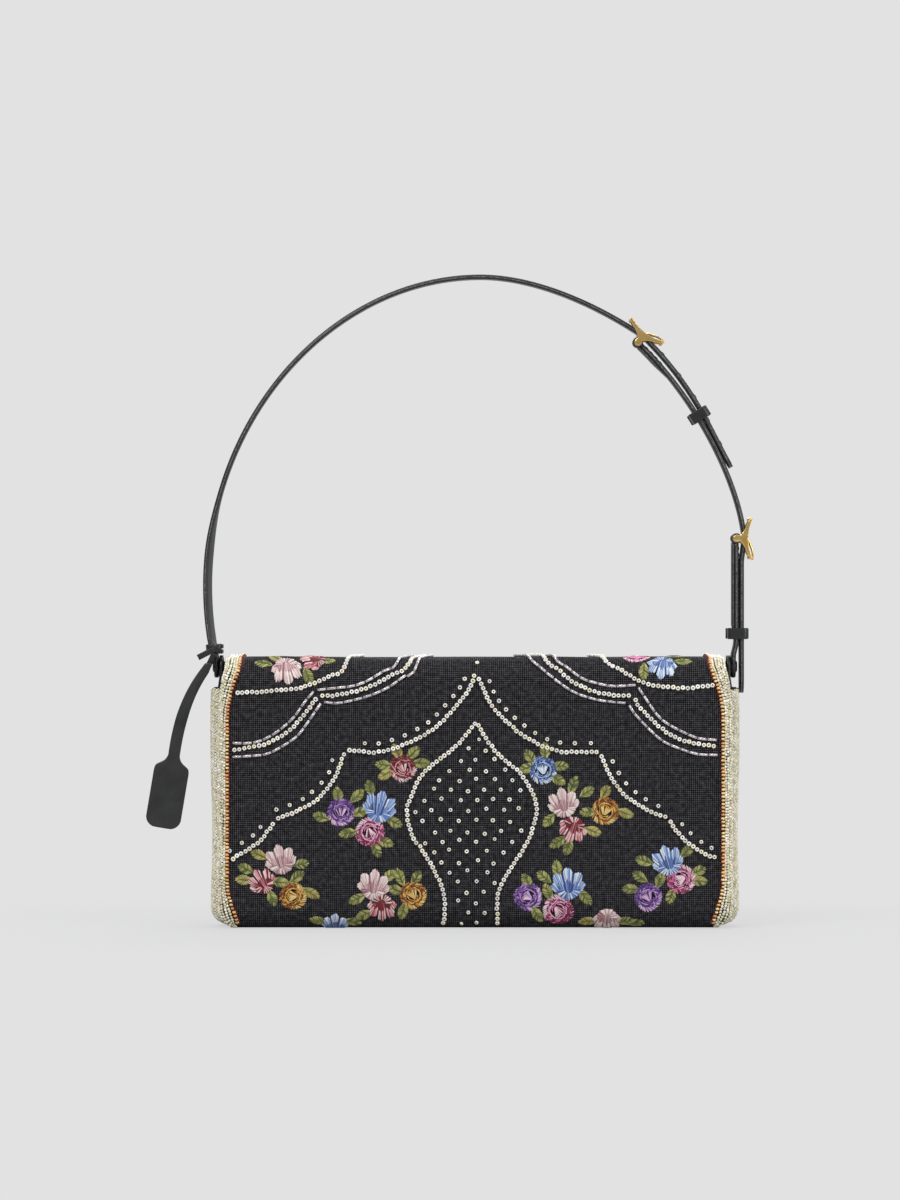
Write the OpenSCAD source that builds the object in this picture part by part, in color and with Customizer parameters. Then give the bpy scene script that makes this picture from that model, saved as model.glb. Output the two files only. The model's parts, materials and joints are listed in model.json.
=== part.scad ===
// Flat evening bag with a full flap, beaded side borders and gussets, and a
// leather shoulder strap on two centre-bar buckles.
// The front faces -Y, up is +Z, and the origin is the centre of the base.

/* [Bag body] */
// Width across the front panel, seam to seam
panel_w = 259; // [200:1:320]
// Depth of the body over its front and back panels
body_d = 50; // [44:1:70]
// Height of the flap's top above the floor
top_h = 143; // [120:1:180]
// Thickness of the front, back and gusset walls
wall_t = 2; // [1.6:0.1:2.4]
// Radius of the body's lower edges
edge_r = 9; // [7:0.5:12]
// Height of the panels' lower edges above the floor
edge_lift = 2.2; // [1.5:0.1:3]
// How far each gusset bulges past the panel seam
gusset_bulge = 9.8; // [8.5:0.1:12]
// Radius of the gusset's corner where it turns from the panel
gusset_corner_r = 4.4; // [3.5:0.1:5]
// Drop from the flap's top to the gusset's top edge
gusset_drop = 16; // [15:1:30]
// Drop from the flap's top to the front panel's top edge
front_drop = 14; // [13:1:30]
// Thickness of the stiffening board
board_t = 1.4; // [1:0.1:2]
// Thickness of the lining cloth
lining_t = 0.8; // [0.6:0.1:1.2]
// Drop from the flap's top to the lining's top edge
lining_drop = 16; // [15:1:30]
// Space between the panels and the lining
lining_gap = 1; // [0.9:0.1:1.5]

/* [Slip pocket] */
// Width of the slip pocket
pocket_w = 100; // [60:1:160]
// Height of the slip pocket
pocket_h = 62; // [30:1:75]
// Drop from the lining's top edge to the pocket's mouth
pocket_drop = 17; // [10:1:30]
// Space inside the slip pocket
pocket_gap = 5; // [4.5:0.1:8]
// Thickness of the pocket's walls
pocket_t = 0.8; // [0.6:0.1:1.2]

/* [Flap] */
// Thickness of the flap with its lining
flap_t = 2.8; // [2.4:0.1:3.2]
// Thickness of the flap's lining alone
flap_lining_t = 1; // [0.6:0.1:1.2]
// Space between the flap and the body
flap_gap = 0.5; // [0.4:0.1:1.5]
// Outer radius of the flap's front top edge
flap_top_r = 13; // [11.5:0.5:16]
// How far the flap wraps round the lower edge, in degrees
flap_wrap = 58; // [30:1:62]
// Radius of the rolled edge on the flap hinge
hinge_r = 1.5; // [1.2:0.1:1.5]
// Distance of the hinge from the back of the body
hinge_inset = 3; // [2:0.5:6]
// Width of the flap's side beyond the panel seam
border_w = 7.7; // [7:0.1:8]

/* [Snaps] */
// Distance between the two magnetic snaps
snap_spacing = 124; // [60:1:180]
// Height of the snaps above the floor
snap_z = 40; // [30:1:60]
// Radius of a snap's flange
snap_r = 8; // [6:0.5:10]
// Thickness of a snap socket's flange
snap_t = 1.3; // [1:0.1:1.5]
// Radius of the socket's hub
snap_hub_r = 4; // [3.5:0.1:5]
// Radius of the stud's nub
snap_nub_r = 2; // [1.5:0.1:2.4]
// Height of the stud's nub
snap_nub_h = 1.1; // [0.8:0.1:1.3]

/* [Strap] */
// Width of the strap
strap_w = 12; // [10:0.5:14]
// Thickness of the strap
strap_t = 2.5; // [2:0.1:2.8]
// Height of the strap's arch above its rivets
strap_drop = 207; // [170:1:260]
// Height of the strap rivets above the gusset's top edge
pivot_rise = 11; // [10:0.5:13]
// Space between the strap's layers where they lie together
layer_gap = 0.3; // [0.3:0.1:0.8]
// Thickness of the strap where it wraps a buckle bar
wrap_t = 1.6; // [1.2:0.1:1.8]
// Length of the middle strap's free tail below the lower buckle
short_tail = 82; // [60:1:84]
// Thickness of the tabs
tab_t = 2.2; // [1.8:0.1:2.3]
// Depth that each tab reaches down inside the gusset
tab_reach = 17; // [12:1:30]

/* [Rivets] */
// Radius of a rivet's shank
rivet_r = 1.5; // [1.2:0.1:2]
// Radius of a rivet's heads
rivet_head_r = 3; // [2.5:0.1:4]
// Thickness of a rivet's heads
rivet_head_t = 0.8; // [0.6:0.1:1]

/* [Buckles] */
// Length of a buckle's frame along the strap
buckle_l = 20; // [19:0.5:24]
// Radius of a buckle's end bars
end_bar_r = 1.1; // [0.9:0.1:1.3]
// Radius of a buckle's centre bar
centre_bar_r = 1.2; // [1:0.1:1.4]
// Thickness of a buckle's side rails
rail_t = 1.8; // [1.4:0.1:2.4]
// Width of a prong
prong_w = 2; // [1.6:0.1:2.4]
// Thickness of a prong
prong_t = 1.4; // [1.2:0.1:1.5]

/* [Keepers] */
// Length of a keeper along the strap
keeper_l = 6; // [4:0.5:8]
// Thickness of a keeper's leather
keeper_t = 1.6; // [1.2:0.1:2]
// Space round the straps inside a keeper
keeper_gap = 0.4; // [0.4:0.1:0.8]
// Height of the lower keeper above the rivets
keeper_rise = 17.5; // [17:0.5:30]

/* [Tag] */
// Width of the tag's paddle
tag_w = 18.5; // [14:0.5:24]
// Length of the tag's paddle
tag_l = 39; // [30:1:50]
// Thickness of the tag's leather
tag_t = 2.2; // [1.8:0.1:2.6]
// Width of the thong at the paddle
thong_w = 6.2; // [5:0.1:7]
// Width of the thong at the knot
thong_top_w = 4.5; // [4:0.1:5]
// Height of the thong's wrap round the strap
wrap_h = 4.4; // [3.5:0.1:5]
// Drop from the knot to the paddle
thong_drop = 46.5; // [40:0.5:55]
// How far the paddle hangs out to the side of the knot
thong_reach = 17.5; // [14:0.5:24]
// Tilt of the paddle from upright
tag_tilt = 9.5; // [5:0.5:14]

/* [Hidden] */

// Running clearances
soft_gap = 0.3;      // between leather or cloth pieces on different bodies
pin_gap = 0.05;      // radial, between a shaft and what turns on it
cut = 1;             // how far a cutting shape runs past what it cuts
big = 400;           // larger than the bag

// Colours
canvas = "#2b2b2e";
ivory = "#e4dfc4";
leather = "#262626";
gold = "#dca04a";
cloth = "#3a3634";
board = "#8b7355";

// The body's planes
half_w = panel_w / 2;
half_d = body_d / 2;
gusset_h = top_h - gusset_drop;
front_h = top_h - front_drop;
edge_y = half_d - edge_r;              // centre of the lower edge arc
edge_z = edge_lift + edge_r;
floor_z = edge_lift + wall_t;          // inside face of the base
gusset_x = half_w + gusset_bulge;      // outermost point of a gusset
corner_y = half_d - gusset_corner_r;   // centre of the gusset's corner arc

// The flap's planes
flap_in_y = half_d + flap_gap;
flap_out_y = flap_in_y + flap_t;
flap_in_z = top_h - flap_t;
flap_side_x = half_w + border_w;       // outermost point of the flap's side
flap_top_x = half_w + 2;               // half width of the flap over the top
flap_corner_y = flap_out_y - border_w;
flap_top_y = flap_out_y - flap_top_r;  // centre of the flap's top edge arc
flap_top_z = top_h - flap_top_r;
flap_edge_r = edge_r + flap_gap;
hinge_y = half_d - hinge_inset;
hinge_z = top_h - hinge_r;

// The lining's planes
lining_y = half_d - wall_t - lining_gap;
lining_z = floor_z + board_t;
lining_h = top_h - lining_drop;
lining_x = half_w - 0.3;
pocket_z = lining_h - pocket_drop - pocket_h;

// The strap's planes
pivot_z = gusset_h + pivot_rise;
tab_low_x = gusset_x - wall_t - 0.6 - tab_t / 2;
tab_top_x = flap_top_x + soft_gap + rivet_head_t + 1 + tab_t / 2;
lobe_x = tab_top_x + (tab_t + strap_t) / 2 + soft_gap;
lobe_r = strap_w / 2;
leg_x = flap_side_x + soft_gap + 0.1 + strap_t / 2;
tail_x = leg_x + strap_t + layer_gap;
bore_r = centre_bar_r + pin_gap;
wrap_r = bore_r + wrap_t;
wrap_mid = bore_r + wrap_t / 2;               // where a strap's end joins its wrap
bar_lift = wrap_r + soft_gap + strap_t / 2;   // bar centre to the layer over it
frame_lift = bar_lift + strap_t / 2 + 0.1 + end_bar_r;

// The arch, as shares of its own height and span so that it keeps its line
arch_k = strap_drop / 207;
function arch(x, z) = [x * leg_x / 138.85, pivot_z + z * arch_k];
apex = arch(3, 207);
upper_bar = arch(86.6, 172.2);
upper_turn = -37.5;
lower_bar = [leg_x, arch(0, 68)[1]];
lower_turn = -90;
tail_end = arch(136.2, 105.8);

// Points along a circular arc
function arc(c, r, a0, a1, n = 8) =
    [for (i = [0:n]) c + r * [cos(a0 + (a1 - a0) * i / n), sin(a0 + (a1 - a0) * i / n)]];

// Direction at an angle
function way(a) = [cos(a), sin(a)];

// Points along a cubic curve that leaves p at angle a and reaches q at angle b
function curve(p, a, ha, q, b, hb, n = 16) =
    let (p1 = p + ha * way(a), q1 = q - hb * way(b))
    [for (i = [0:n]) let (t = i / n, s = 1 - t)
        s * s * s * p + 3 * s * s * t * p1 + 3 * s * t * t * q1 + t * t * t * q];

// Unit normal to the left of a path at point i
function side(path, i) =
    let (n = len(path) - 1,
        d = path[min(i + 1, n)] - path[max(i - 1, 0)])
    [-d[1], d[0]] / norm(d);

// A path moved sideways
function aside(path, d) = [for (i = [0:len(path) - 1]) path[i] + d * side(path, i)];

// A list in reverse
function back(list) = [for (i = [len(list) - 1:-1:0]) list[i]];

// A list of points mirrored left to right
function flip(list) = [for (p = back(list)) [-p[0], p[1]]];

// A flat band of even thickness along a path
module band(path, t) polygon(concat(aside(path, t / 2), back(aside(path, -t / 2))));

// A flat band that widens from t0 to t1 along a path
module taper(path, t0, t1) {
    n = len(path) - 1;
    half = [for (i = [0:n]) (t0 + (t1 - t0) * i / n) / 2];
    polygon(concat([for (i = [0:n]) path[i] + half[i] * side(path, i)],
        [for (i = [n:-1:0]) path[i] - half[i] * side(path, i)]));
}

// An outline in X and Z made solid along Y
module along_y(w, y = 0) translate([0, y, 0]) rotate([90, 0, 0])
    linear_extrude(w, center = true) children();

// An outline in Y and Z made solid along X
module along_x(w, x = 0) translate([x, 0, 0]) rotate([90, 0, 90])
    linear_extrude(w, center = true) children();

// A piece on the left made from the one on the right
module on_left() mirror([1, 0, 0]) children();

// A round bar along X or Y
module bar_x(r, l) rotate([0, 90, 0]) cylinder(r = r, h = l, center = true, $fn = 48);
module bar_y(r, l) rotate([90, 0, 0]) cylinder(r = r, h = l, center = true, $fn = 48);

// Body

// Half of the body's end from above, grown by g, with the gusset's bulge
module end_plan(g = 0) {
    c = [half_w, corner_y];
    r = gusset_corner_r + g;
    rise = gusset_bulge - gusset_corner_r;
    bulge_r = (corner_y * corner_y + rise * rise) / (2 * rise) + g;
    lean = asin(corner_y / (bulge_r - g));
    bulge = arc([gusset_x + g - bulge_r, 0], bulge_r, lean, -lean, 10);
    polygon(concat([[0, half_d + g]], arc(c, r, 90, lean, 5), bulge,
        arc([c[0], -c[1]], r, -lean, -90, 5), [[0, -half_d - g]]));
}

// The body's end from the front, grown by g and open at the top
module end_front(g = 0) polygon(concat([[0, edge_lift - g]],
    arc([gusset_x - edge_r, edge_z], edge_r + g, -90, 0),
    [[gusset_x + g, top_h], [0, top_h]]));

// The body's section from the side, grown by g and open at the top
module end_side(g = 0) polygon(concat(
    arc([-edge_y, edge_z], edge_r + g, 180, 270), arc([edge_y, edge_z], edge_r + g, 270, 360),
    [[half_d + g, top_h], [-half_d - g, top_h]]));

module right_end(g) intersection() {
    linear_extrude(top_h) end_plan(g);
    along_y(big) end_front(g);
    along_x(big) end_side(g);
}

module right_gusset_solid() difference() {
    right_end(0);
    right_end(-wall_t);
    translate([-big + half_w, -big / 2, -cut]) cube([big, big, big]);
    translate([0, -big / 2, gusset_h]) cube(big);
}

module left_gusset() color(ivory) on_left() right_gusset_solid();
module right_gusset() color(ivory) right_gusset_solid();

// The front wall and its lower edge, from the side
module panel_side(top) polygon(concat(
    [for (p = arc([-edge_y, edge_z], edge_r, 270, 180)) p], top,
    arc([-edge_y, edge_z], edge_r - wall_t, 180, 270)));

module snap_places() for (x = [-1, 1]) translate([x * snap_spacing / 2, 0, snap_z]) children();

module front_panel() color(canvas) difference() {
    along_x(panel_w) panel_side([[-half_d, front_h], [-half_d + wall_t, front_h]]);
    snap_places() {
        translate([0, -half_d, 0]) bar_y(snap_r, 2 * snap_t);
        translate([0, -half_d, 0]) bar_y(snap_hub_r, 3 * wall_t);
    }
}

module back_panel() color(canvas) mirror([0, 1, 0]) along_x(panel_w) {
    neck_z = hinge_z - hinge_r - soft_gap;
    y = hinge_y + wall_t / 2;
    panel_side([[-half_d, gusset_h], [-y, neck_z], [-y + wall_t, neck_z],
        [-half_d + wall_t, gusset_h]]);
}

module base_panel() color(canvas)
    translate([-half_w, -edge_y, 0]) cube([panel_w, 2 * edge_y, floor_z]);

module base_board() color(board) translate([-half_w + 3, -edge_y, floor_z])
    cube([panel_w - 6, 2 * edge_y, board_t]);

// The lining's section from the side, drawn in by g
module lining_side(g, top) polygon(concat(
    arc([-lining_y + edge_r - wall_t, lining_z + edge_r - wall_t], edge_r - wall_t - g, 180, 270),
    arc([lining_y - edge_r + wall_t, lining_z + edge_r - wall_t], edge_r - wall_t - g, 270, 360),
    [[lining_y - g, top], [-lining_y + g, top]]));

module lining() color(cloth) difference() {
    along_x(2 * lining_x) lining_side(0, lining_h);
    along_x(2 * (lining_x - lining_t)) lining_side(lining_t, lining_h + cut);
}

module slip_pocket() color(cloth) {
    back_y = lining_y - lining_t;
    deep = pocket_gap + pocket_t;
    difference() {
        translate([-pocket_w / 2, back_y - deep, pocket_z]) cube([pocket_w, deep, pocket_h]);
        translate([-pocket_w / 2 + pocket_t, back_y - pocket_gap, pocket_z + pocket_t])
            cube([pocket_w - 2 * pocket_t, pocket_gap + cut, pocket_h]);
    }
}

// The binding along the top edge of the front panel
module mouth_binding() color(leather)
    translate([-half_w, -half_d, front_h]) cube([panel_w, wall_t, 1.6]);

module snap_sockets() color(gold) snap_places() difference() {
    union() {
        translate([0, -half_d + snap_t / 2, 0]) bar_y(snap_r, snap_t);
        translate([0, -half_d + wall_t / 2 + 0.3, 0]) bar_y(snap_hub_r, wall_t + 0.6);
    }
    translate([0, -half_d, 0]) bar_y(snap_nub_r + 0.6, 2 * (snap_nub_h + 0.4));
}

module snap_washers() color(gold) snap_places() difference() {
    translate([0, -half_d + wall_t + 0.4, 0]) bar_y(snap_r, 0.8);
    translate([0, -half_d + wall_t, 0]) bar_y(snap_hub_r, 4);
}

// Tabs and rivets

module right_tab_solid() {
    z = gusset_h;
    path = [[tab_low_x, z - tab_reach], [tab_low_x, z - 1], [tab_top_x, z + 5],
        [tab_top_x, pivot_z]];
    difference() {
        union() {
            along_y(strap_w) band(path, tab_t);
            translate([tab_top_x, 0, pivot_z]) bar_x(lobe_r, tab_t);
        }
        translate([tab_top_x, 0, pivot_z]) bar_x(rivet_r, 2 * tab_t);
    }
}

module left_tab() color(leather) on_left() right_tab_solid();
module right_tab() color(leather) right_tab_solid();

module right_rivet_solid() {
    inner = tab_top_x - tab_t / 2;
    outer = lobe_x + strap_t / 2 + 0.1;
    translate([(inner + outer) / 2, 0, pivot_z]) bar_x(rivet_r, outer - inner + rivet_head_t);
    translate([inner - rivet_head_t / 2, 0, pivot_z]) bar_x(rivet_head_r, rivet_head_t);
    translate([outer + rivet_head_t / 2, 0, pivot_z]) bar_x(rivet_head_r, rivet_head_t);
}

module left_rivet() color(gold) on_left() right_rivet_solid();
module right_rivet() color(gold) right_rivet_solid();

// Flap

// The flap from the side at depth g under its face, from hinge to lower edge
function flap_line(g) = concat(
    [[hinge_y, top_h - g]],
    arc([-flap_top_y, flap_top_z], flap_top_r - g, 90, 180, 10),
    arc([-edge_y, edge_z], flap_edge_r + flap_t - g, 180, 180 + flap_wrap, 8));

module flap_side(g0, g1) polygon(concat(flap_line(g0), back(flap_line(g1))));

// Half of the flap from the front, with its side drawn in towards the top
module flap_front() {
    r = edge_r;
    low = edge_z - (flap_edge_r + flap_t) * sin(flap_wrap);
    polygon(concat([[0, low - cut]],
        [for (p = arc([flap_side_x - r, low + r], r, -90, 0)) p],
        [[flap_side_x, gusset_h - 7], [flap_top_x + 3.5, gusset_h + 6],
            [flap_top_x, flap_in_z - 1], [flap_top_x, top_h], [0, top_h]]));
}

// Half of the flap from above, g under its face
module flap_plan(g) polygon(concat([[0, -flap_out_y + g]],
    arc([half_w, -flap_corner_y], border_w - g, -90, 0),
    [[flap_side_x - g, big], [0, big]]));

module right_border_solid() {
    c = [-edge_y, edge_z];
    past = c + (flap_edge_r + 2 * flap_t) * way(180 + flap_wrap);
    intersection() {
        translate([half_w, -big / 2, 0]) cube(big);
        along_y(big) flap_front();
        difference() {
            intersection() {
                linear_extrude(top_h) flap_plan(0);
                along_x(big) polygon(concat(flap_line(0), [past, [hinge_y, past[1]]]));
            }
            intersection() {
                translate([0, 0, -big / 2]) linear_extrude(big) flap_plan(flap_t);
                along_x(big) polygon(concat([[hinge_y + cut, flap_in_z]], flap_line(flap_t),
                    [past, [hinge_y + cut, past[1]]]));
            }
            translate([0, -flap_corner_y, -cut]) cube([big, big, flap_in_z + cut]);
        }
    }
}

module left_border() color(ivory) on_left() right_border_solid();
module right_border() color(ivory) right_border_solid();

module flap_shell() color(canvas) {
    along_x(panel_w) flap_side(0, flap_t - flap_lining_t);
    translate([0, hinge_y, hinge_z]) bar_x(hinge_r, panel_w);
}

module flap_lining() color(cloth) difference() {
    along_x(panel_w) flap_side(flap_t - flap_lining_t, flap_t);
    translate([0, hinge_y, hinge_z]) bar_x(hinge_r, panel_w + cut);
    snap_places() translate([0, -flap_in_y, 0]) bar_y(snap_r - 1, 2 * flap_t);
}

module snap_studs() color(gold) snap_places() {
    translate([0, -flap_in_y - flap_lining_t / 2, 0]) bar_y(snap_r - 1, flap_lining_t);
    translate([0, -flap_in_y + snap_nub_h / 2, 0]) bar_y(snap_nub_r, snap_nub_h);
}

// Strap

// A buckle's own frame: u along the strap, v outwards, set on its centre bar
module at_bar(p, turn) translate([p[0], 0, p[1]]) rotate([0, -turn, 0]) children();

// The slot that a prong passes and swings in
module prong_slot() translate([-4.2, -(prong_w / 2 + 0.6), -wrap_r - cut])
    cube([7.6, prong_w + 1.2, 30]);

// The wrap of a strap's end round a buckle's bar
module wrap_ring(p, turn) at_bar(p, turn) bar_y(wrap_r, strap_w);

module bar_bore(p, turn) at_bar(p, turn) {
    bar_y(bore_r, strap_w + 2 * cut);
    translate([-wrap_r - cut, -(prong_w / 2 + 0.6), -wrap_r - cut])
        cube([2 * wrap_r + 1.4, prong_w + 1.2, 2 * wrap_r + 2 * cut]);
}

function above_bar(p, turn, d) = p + d * way(turn + 90);

left_lobe = [-lobe_x, pivot_z];
left_bend = arch(-139.6, 12);
upper_cross = above_bar(upper_bar, upper_turn, bar_lift);
lower_cross = above_bar(lower_bar, lower_turn, bar_lift);
tail_path = curve(upper_cross, -44.6, 41 * arch_k, tail_end, -59.4, 21 * arch_k, 14);
long_path = concat(
    [left_lobe, left_lobe + [0, lobe_r - 1]],
    curve(left_bend, 99.6, 105 * arch_k, apex, 0, 86.5 * arch_k, 24),
    [for (p = curve(apex, 0, 30 * arch_k, upper_cross, -34, 28 * arch_k, 10)) if (p != apex) p],
    [for (p = tail_path) if (p != upper_cross) p]);
middle_path = concat(
    curve(upper_bar + wrap_mid * way(-44), -44, 40 * arch_k, lower_cross, -84, 32 * arch_k, 18),
    [[tail_x, lower_cross[1] - 12], [tail_x, lower_cross[1] - short_tail]]);
short_path = [[lobe_x, pivot_z], [lobe_x, pivot_z + lobe_r], [leg_x, pivot_z + lobe_r + 6],
    lower_bar - [0, wrap_mid]];

module lobe(x) translate([x, 0, pivot_z]) bar_x(lobe_r, strap_t);
module lobe_bore(x) translate([x, 0, pivot_z]) bar_x(rivet_r + pin_gap, 3 * strap_t);

module long_strap() color(leather) difference() {
    union() {
        along_y(strap_w) band(long_path, strap_t);
        lobe(-lobe_x);
    }
    lobe_bore(-lobe_x);
    at_bar(upper_bar, upper_turn) prong_slot();
}

module middle_strap() color(leather) difference() {
    union() {
        along_y(strap_w) band(middle_path, strap_t);
        wrap_ring(upper_bar, upper_turn);
    }
    bar_bore(upper_bar, upper_turn);
    at_bar(lower_bar, lower_turn) prong_slot();
}

module short_strap() color(leather) difference() {
    union() {
        along_y(strap_w) band(short_path, strap_t);
        lobe(lobe_x);
        wrap_ring(lower_bar, lower_turn);
    }
    lobe_bore(lobe_x);
    bar_bore(lower_bar, lower_turn);
}

// Buckles

// Side rail in u and v: a bowed bar over the strap with a lug down to the centre bar
module rail() {
    e = buckle_l / 2;
    top = frame_lift;
    r = end_bar_r;
    polygon([[-e, top + r], [-e - r, top], [-e, top - r], [-e / 2, top - r - 1.6],
        [-1.8, top - r - 3.4], [-centre_bar_r - 0.6, 0], [-0.9, -centre_bar_r - 0.5],
        [0.9, -centre_bar_r - 0.5], [centre_bar_r + 0.6, 0], [1.8, top - r - 3.4],
        [e / 2, top - r - 1.6], [e, top - r], [e + r, top], [e, top + r],
        [e / 2, top + r - 1.3], [0, top + r - 1.8], [-e / 2, top + r - 1.3]]);
}

module buckle() {
    rail_y = strap_w / 2 + 0.6 + rail_t / 2;
    for (y = [-rail_y, rail_y]) along_y(rail_t, y) rail();
    for (x = [-1, 1]) translate([x * buckle_l / 2, 0, frame_lift])
        bar_y(end_bar_r, 2 * rail_y);
    bar_y(centre_bar_r, 2 * rail_y);
}

module upper_buckle() color(gold) at_bar(upper_bar, upper_turn) buckle();
module lower_buckle() color(gold) at_bar(lower_bar, lower_turn) buckle();

// A prong turns on the centre bar, passes the strap and rests on the far end bar
module prong() {
    rest = frame_lift + end_bar_r + prong_t / 2 + 0.1;
    path = [[0.3, bore_r + prong_t / 2], [1, bar_lift + strap_t / 2 + 0.6],
        [3.5, frame_lift + 0.8], [7, rest], [buckle_l / 2 + 1.6, rest]];
    difference() {
        union() {
            along_y(prong_w) band(path, prong_t);
            bar_y(bore_r + prong_t, prong_w);
        }
        bar_y(bore_r, prong_w + cut);
    }
}

module upper_prong() color(gold) at_bar(upper_bar, upper_turn) prong();
module lower_prong() color(gold) at_bar(lower_bar, lower_turn) prong();

// Keepers

// A band round both layers, whose centres lie apart by pitch
module keeper(pitch) {
    inner_v = pitch + strap_t + 2 * keeper_gap;
    inner_y = strap_w + 2 * keeper_gap;
    translate([0, 0, pitch / 2]) difference() {
        cube([keeper_l, inner_y + 2 * keeper_t, inner_v + 2 * keeper_t], center = true);
        cube([keeper_l + cut, inner_y, inner_v], center = true);
    }
}

// Distance from a point to the nearest stretch of a path
function off_path(p, path) = min([for (i = [1:len(path) - 1])
    let (a = path[i - 1], d = path[i] - a, t = max(0, min(1, (p - a) * d / (d * d))))
    norm(p - a - t * d)]);

// The upper keeper holds the long strap's tail to the middle strap
keeper_step = 7;
upper_keeper_at = middle_path[keeper_step];
upper_keeper_way = middle_path[keeper_step + 1] - middle_path[keeper_step - 1];
upper_keeper_turn = atan2(upper_keeper_way[1], upper_keeper_way[0]);
upper_keeper_pitch = off_path(upper_keeper_at, tail_path);

module upper_keeper() color(leather)
    at_bar(upper_keeper_at, upper_keeper_turn) keeper(upper_keeper_pitch);

module lower_keeper() color(leather)
    at_bar([leg_x, pivot_z + keeper_rise], lower_turn) keeper(tail_x - leg_x);

// Tag

loop_w = 3.6;                           // length of the thong's first turn
foot_w = strap_t + 2.4;                 // room for the strap's slant inside the wrap
foot_x = -lobe_x - 1;
foot_z = pivot_z + lobe_r + soft_gap + wrap_h / 2 + 0.6;
knot_y = -(strap_w / 2 + 0.5 + tag_t);  // middle of the knot, in front of the wrap
loop_r = tag_t / 2;
loop_y = knot_y - tag_t / 2 - soft_gap - loop_r;
tag_pin = [-gusset_x - soft_gap - loop_w / 2, pivot_z + 0.8];
tag_y = loop_y - loop_r - soft_gap - tag_t / 2;
tag_head = tag_pin - [0.5, thong_top_w / 2 - 1.05];   // clears the knot when the strap lies forward
paddle_top = tag_head - [thong_reach, thong_drop];

// A cut end of the thong, from the knot outwards
module thong_end(x, z, turn, l) translate([x, knot_y, z]) rotate([0, -turn, 0])
    translate([-1, -tag_t / 2, -wrap_h / 3]) cube([l, tag_t, wrap_h * 2 / 3]);

// The thong's wrap round the strap's foot, with its knot and two cut ends
module tag_knot() color(leather) {
    t = tag_t / 2;
    translate([foot_x, 0, foot_z]) difference() {
        cube([foot_w + 2 * t, strap_w + 1 + 2 * t, wrap_h], center = true);
        cube([foot_w, strap_w + 1, wrap_h + cut], center = true);
    }
    thong_end(foot_x + 1, foot_z + 0.4, 207, 13);
    thong_end(foot_x + 0.5, foot_z - 1, 239, 9.6);
}

// The first turn of the thong, where it leaves the knot
module tag_loop() color(leather)
    translate([tag_pin[0], loop_y, tag_pin[1]]) bar_x(loop_r, loop_w);

module tag() color(leather) {
    thong = curve(tag_head, -128, thong_drop / 3, paddle_top, -98, thong_drop * 0.42, 12);
    along_y(tag_t, tag_y) {
        taper(thong, thong_top_w, thong_w);
        translate(paddle_top) rotate(-tag_tilt) paddle();
    }
    translate([tag_head[0], tag_y, tag_head[1]]) bar_y(thong_top_w / 2, tag_t);
}

// Paddle outline hanging down from its neck
module paddle() {
    w = tag_w / 2;
    n = thong_w / 2;
    r = 4;
    polygon(concat([[n, 1]], arc([w - r, -5 - r], r, 90, 0, 5),
        arc([w - r, -tag_l + r], r, 0, -90, 5), arc([-w + r, -tag_l + r], r, 270, 180, 5),
        arc([-w + r, -5 - r], r, 180, 90, 5), [[-n, 1]]));
}

front_panel();
back_panel();
base_panel();
base_board();
left_gusset();
right_gusset();
lining();
slip_pocket();
mouth_binding();
left_tab();
right_tab();
left_rivet();
right_rivet();
snap_sockets();
snap_washers();
flap_shell();
flap_lining();
left_border();
right_border();
snap_studs();
long_strap();
middle_strap();
short_strap();
upper_buckle();
lower_buckle();
upper_prong();
lower_prong();
upper_keeper();
lower_keeper();
tag_knot();
tag_loop();
tag();
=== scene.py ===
"""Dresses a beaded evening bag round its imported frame.

The bag is a flat black canvas body under a full front flap, with seed-bead borders and
gussets, embroidered posies, bead lines, and a thin leather strap on two gold buckles.
Sizes are in millimetres until a mesh is made, and each mesh is in metres.
"""

import json
import logging
import math
from dataclasses import dataclass, replace
from enum import Enum
from typing import Callable, Optional, Sequence, Union

import bmesh
import bpy
import numpy as np
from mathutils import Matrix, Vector

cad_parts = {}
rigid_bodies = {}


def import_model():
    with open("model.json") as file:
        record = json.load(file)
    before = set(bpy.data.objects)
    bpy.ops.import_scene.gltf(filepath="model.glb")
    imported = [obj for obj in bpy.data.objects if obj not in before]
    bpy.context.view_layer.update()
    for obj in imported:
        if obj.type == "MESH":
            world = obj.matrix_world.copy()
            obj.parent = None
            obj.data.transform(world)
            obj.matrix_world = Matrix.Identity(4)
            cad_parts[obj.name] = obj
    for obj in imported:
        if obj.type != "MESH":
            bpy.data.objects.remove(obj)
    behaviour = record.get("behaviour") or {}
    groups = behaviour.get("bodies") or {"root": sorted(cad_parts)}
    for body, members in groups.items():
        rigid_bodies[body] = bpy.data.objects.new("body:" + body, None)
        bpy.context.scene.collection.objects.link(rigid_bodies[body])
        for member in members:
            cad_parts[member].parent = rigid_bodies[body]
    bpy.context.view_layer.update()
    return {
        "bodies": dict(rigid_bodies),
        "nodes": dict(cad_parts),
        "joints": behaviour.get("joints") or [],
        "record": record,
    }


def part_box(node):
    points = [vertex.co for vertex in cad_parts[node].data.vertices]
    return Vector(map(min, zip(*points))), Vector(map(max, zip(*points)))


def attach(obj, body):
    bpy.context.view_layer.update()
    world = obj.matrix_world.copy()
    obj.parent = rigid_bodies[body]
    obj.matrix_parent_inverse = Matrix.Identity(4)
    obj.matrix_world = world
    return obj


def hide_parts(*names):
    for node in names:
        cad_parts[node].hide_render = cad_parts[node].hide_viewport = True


log = logging.getLogger("evening_bag")

MM = 0.001
SEED = 7
FLOOR_GAP = 0.2
HINGE_Y = 22.0
Colour = tuple[float, float, float]
Triple = tuple[float, float, float]
Pair = tuple[float, float]
Rows = np.ndarray
Mesh = bmesh.types.BMesh
Piece = bpy.types.Object
Material = bpy.types.Material


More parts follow.
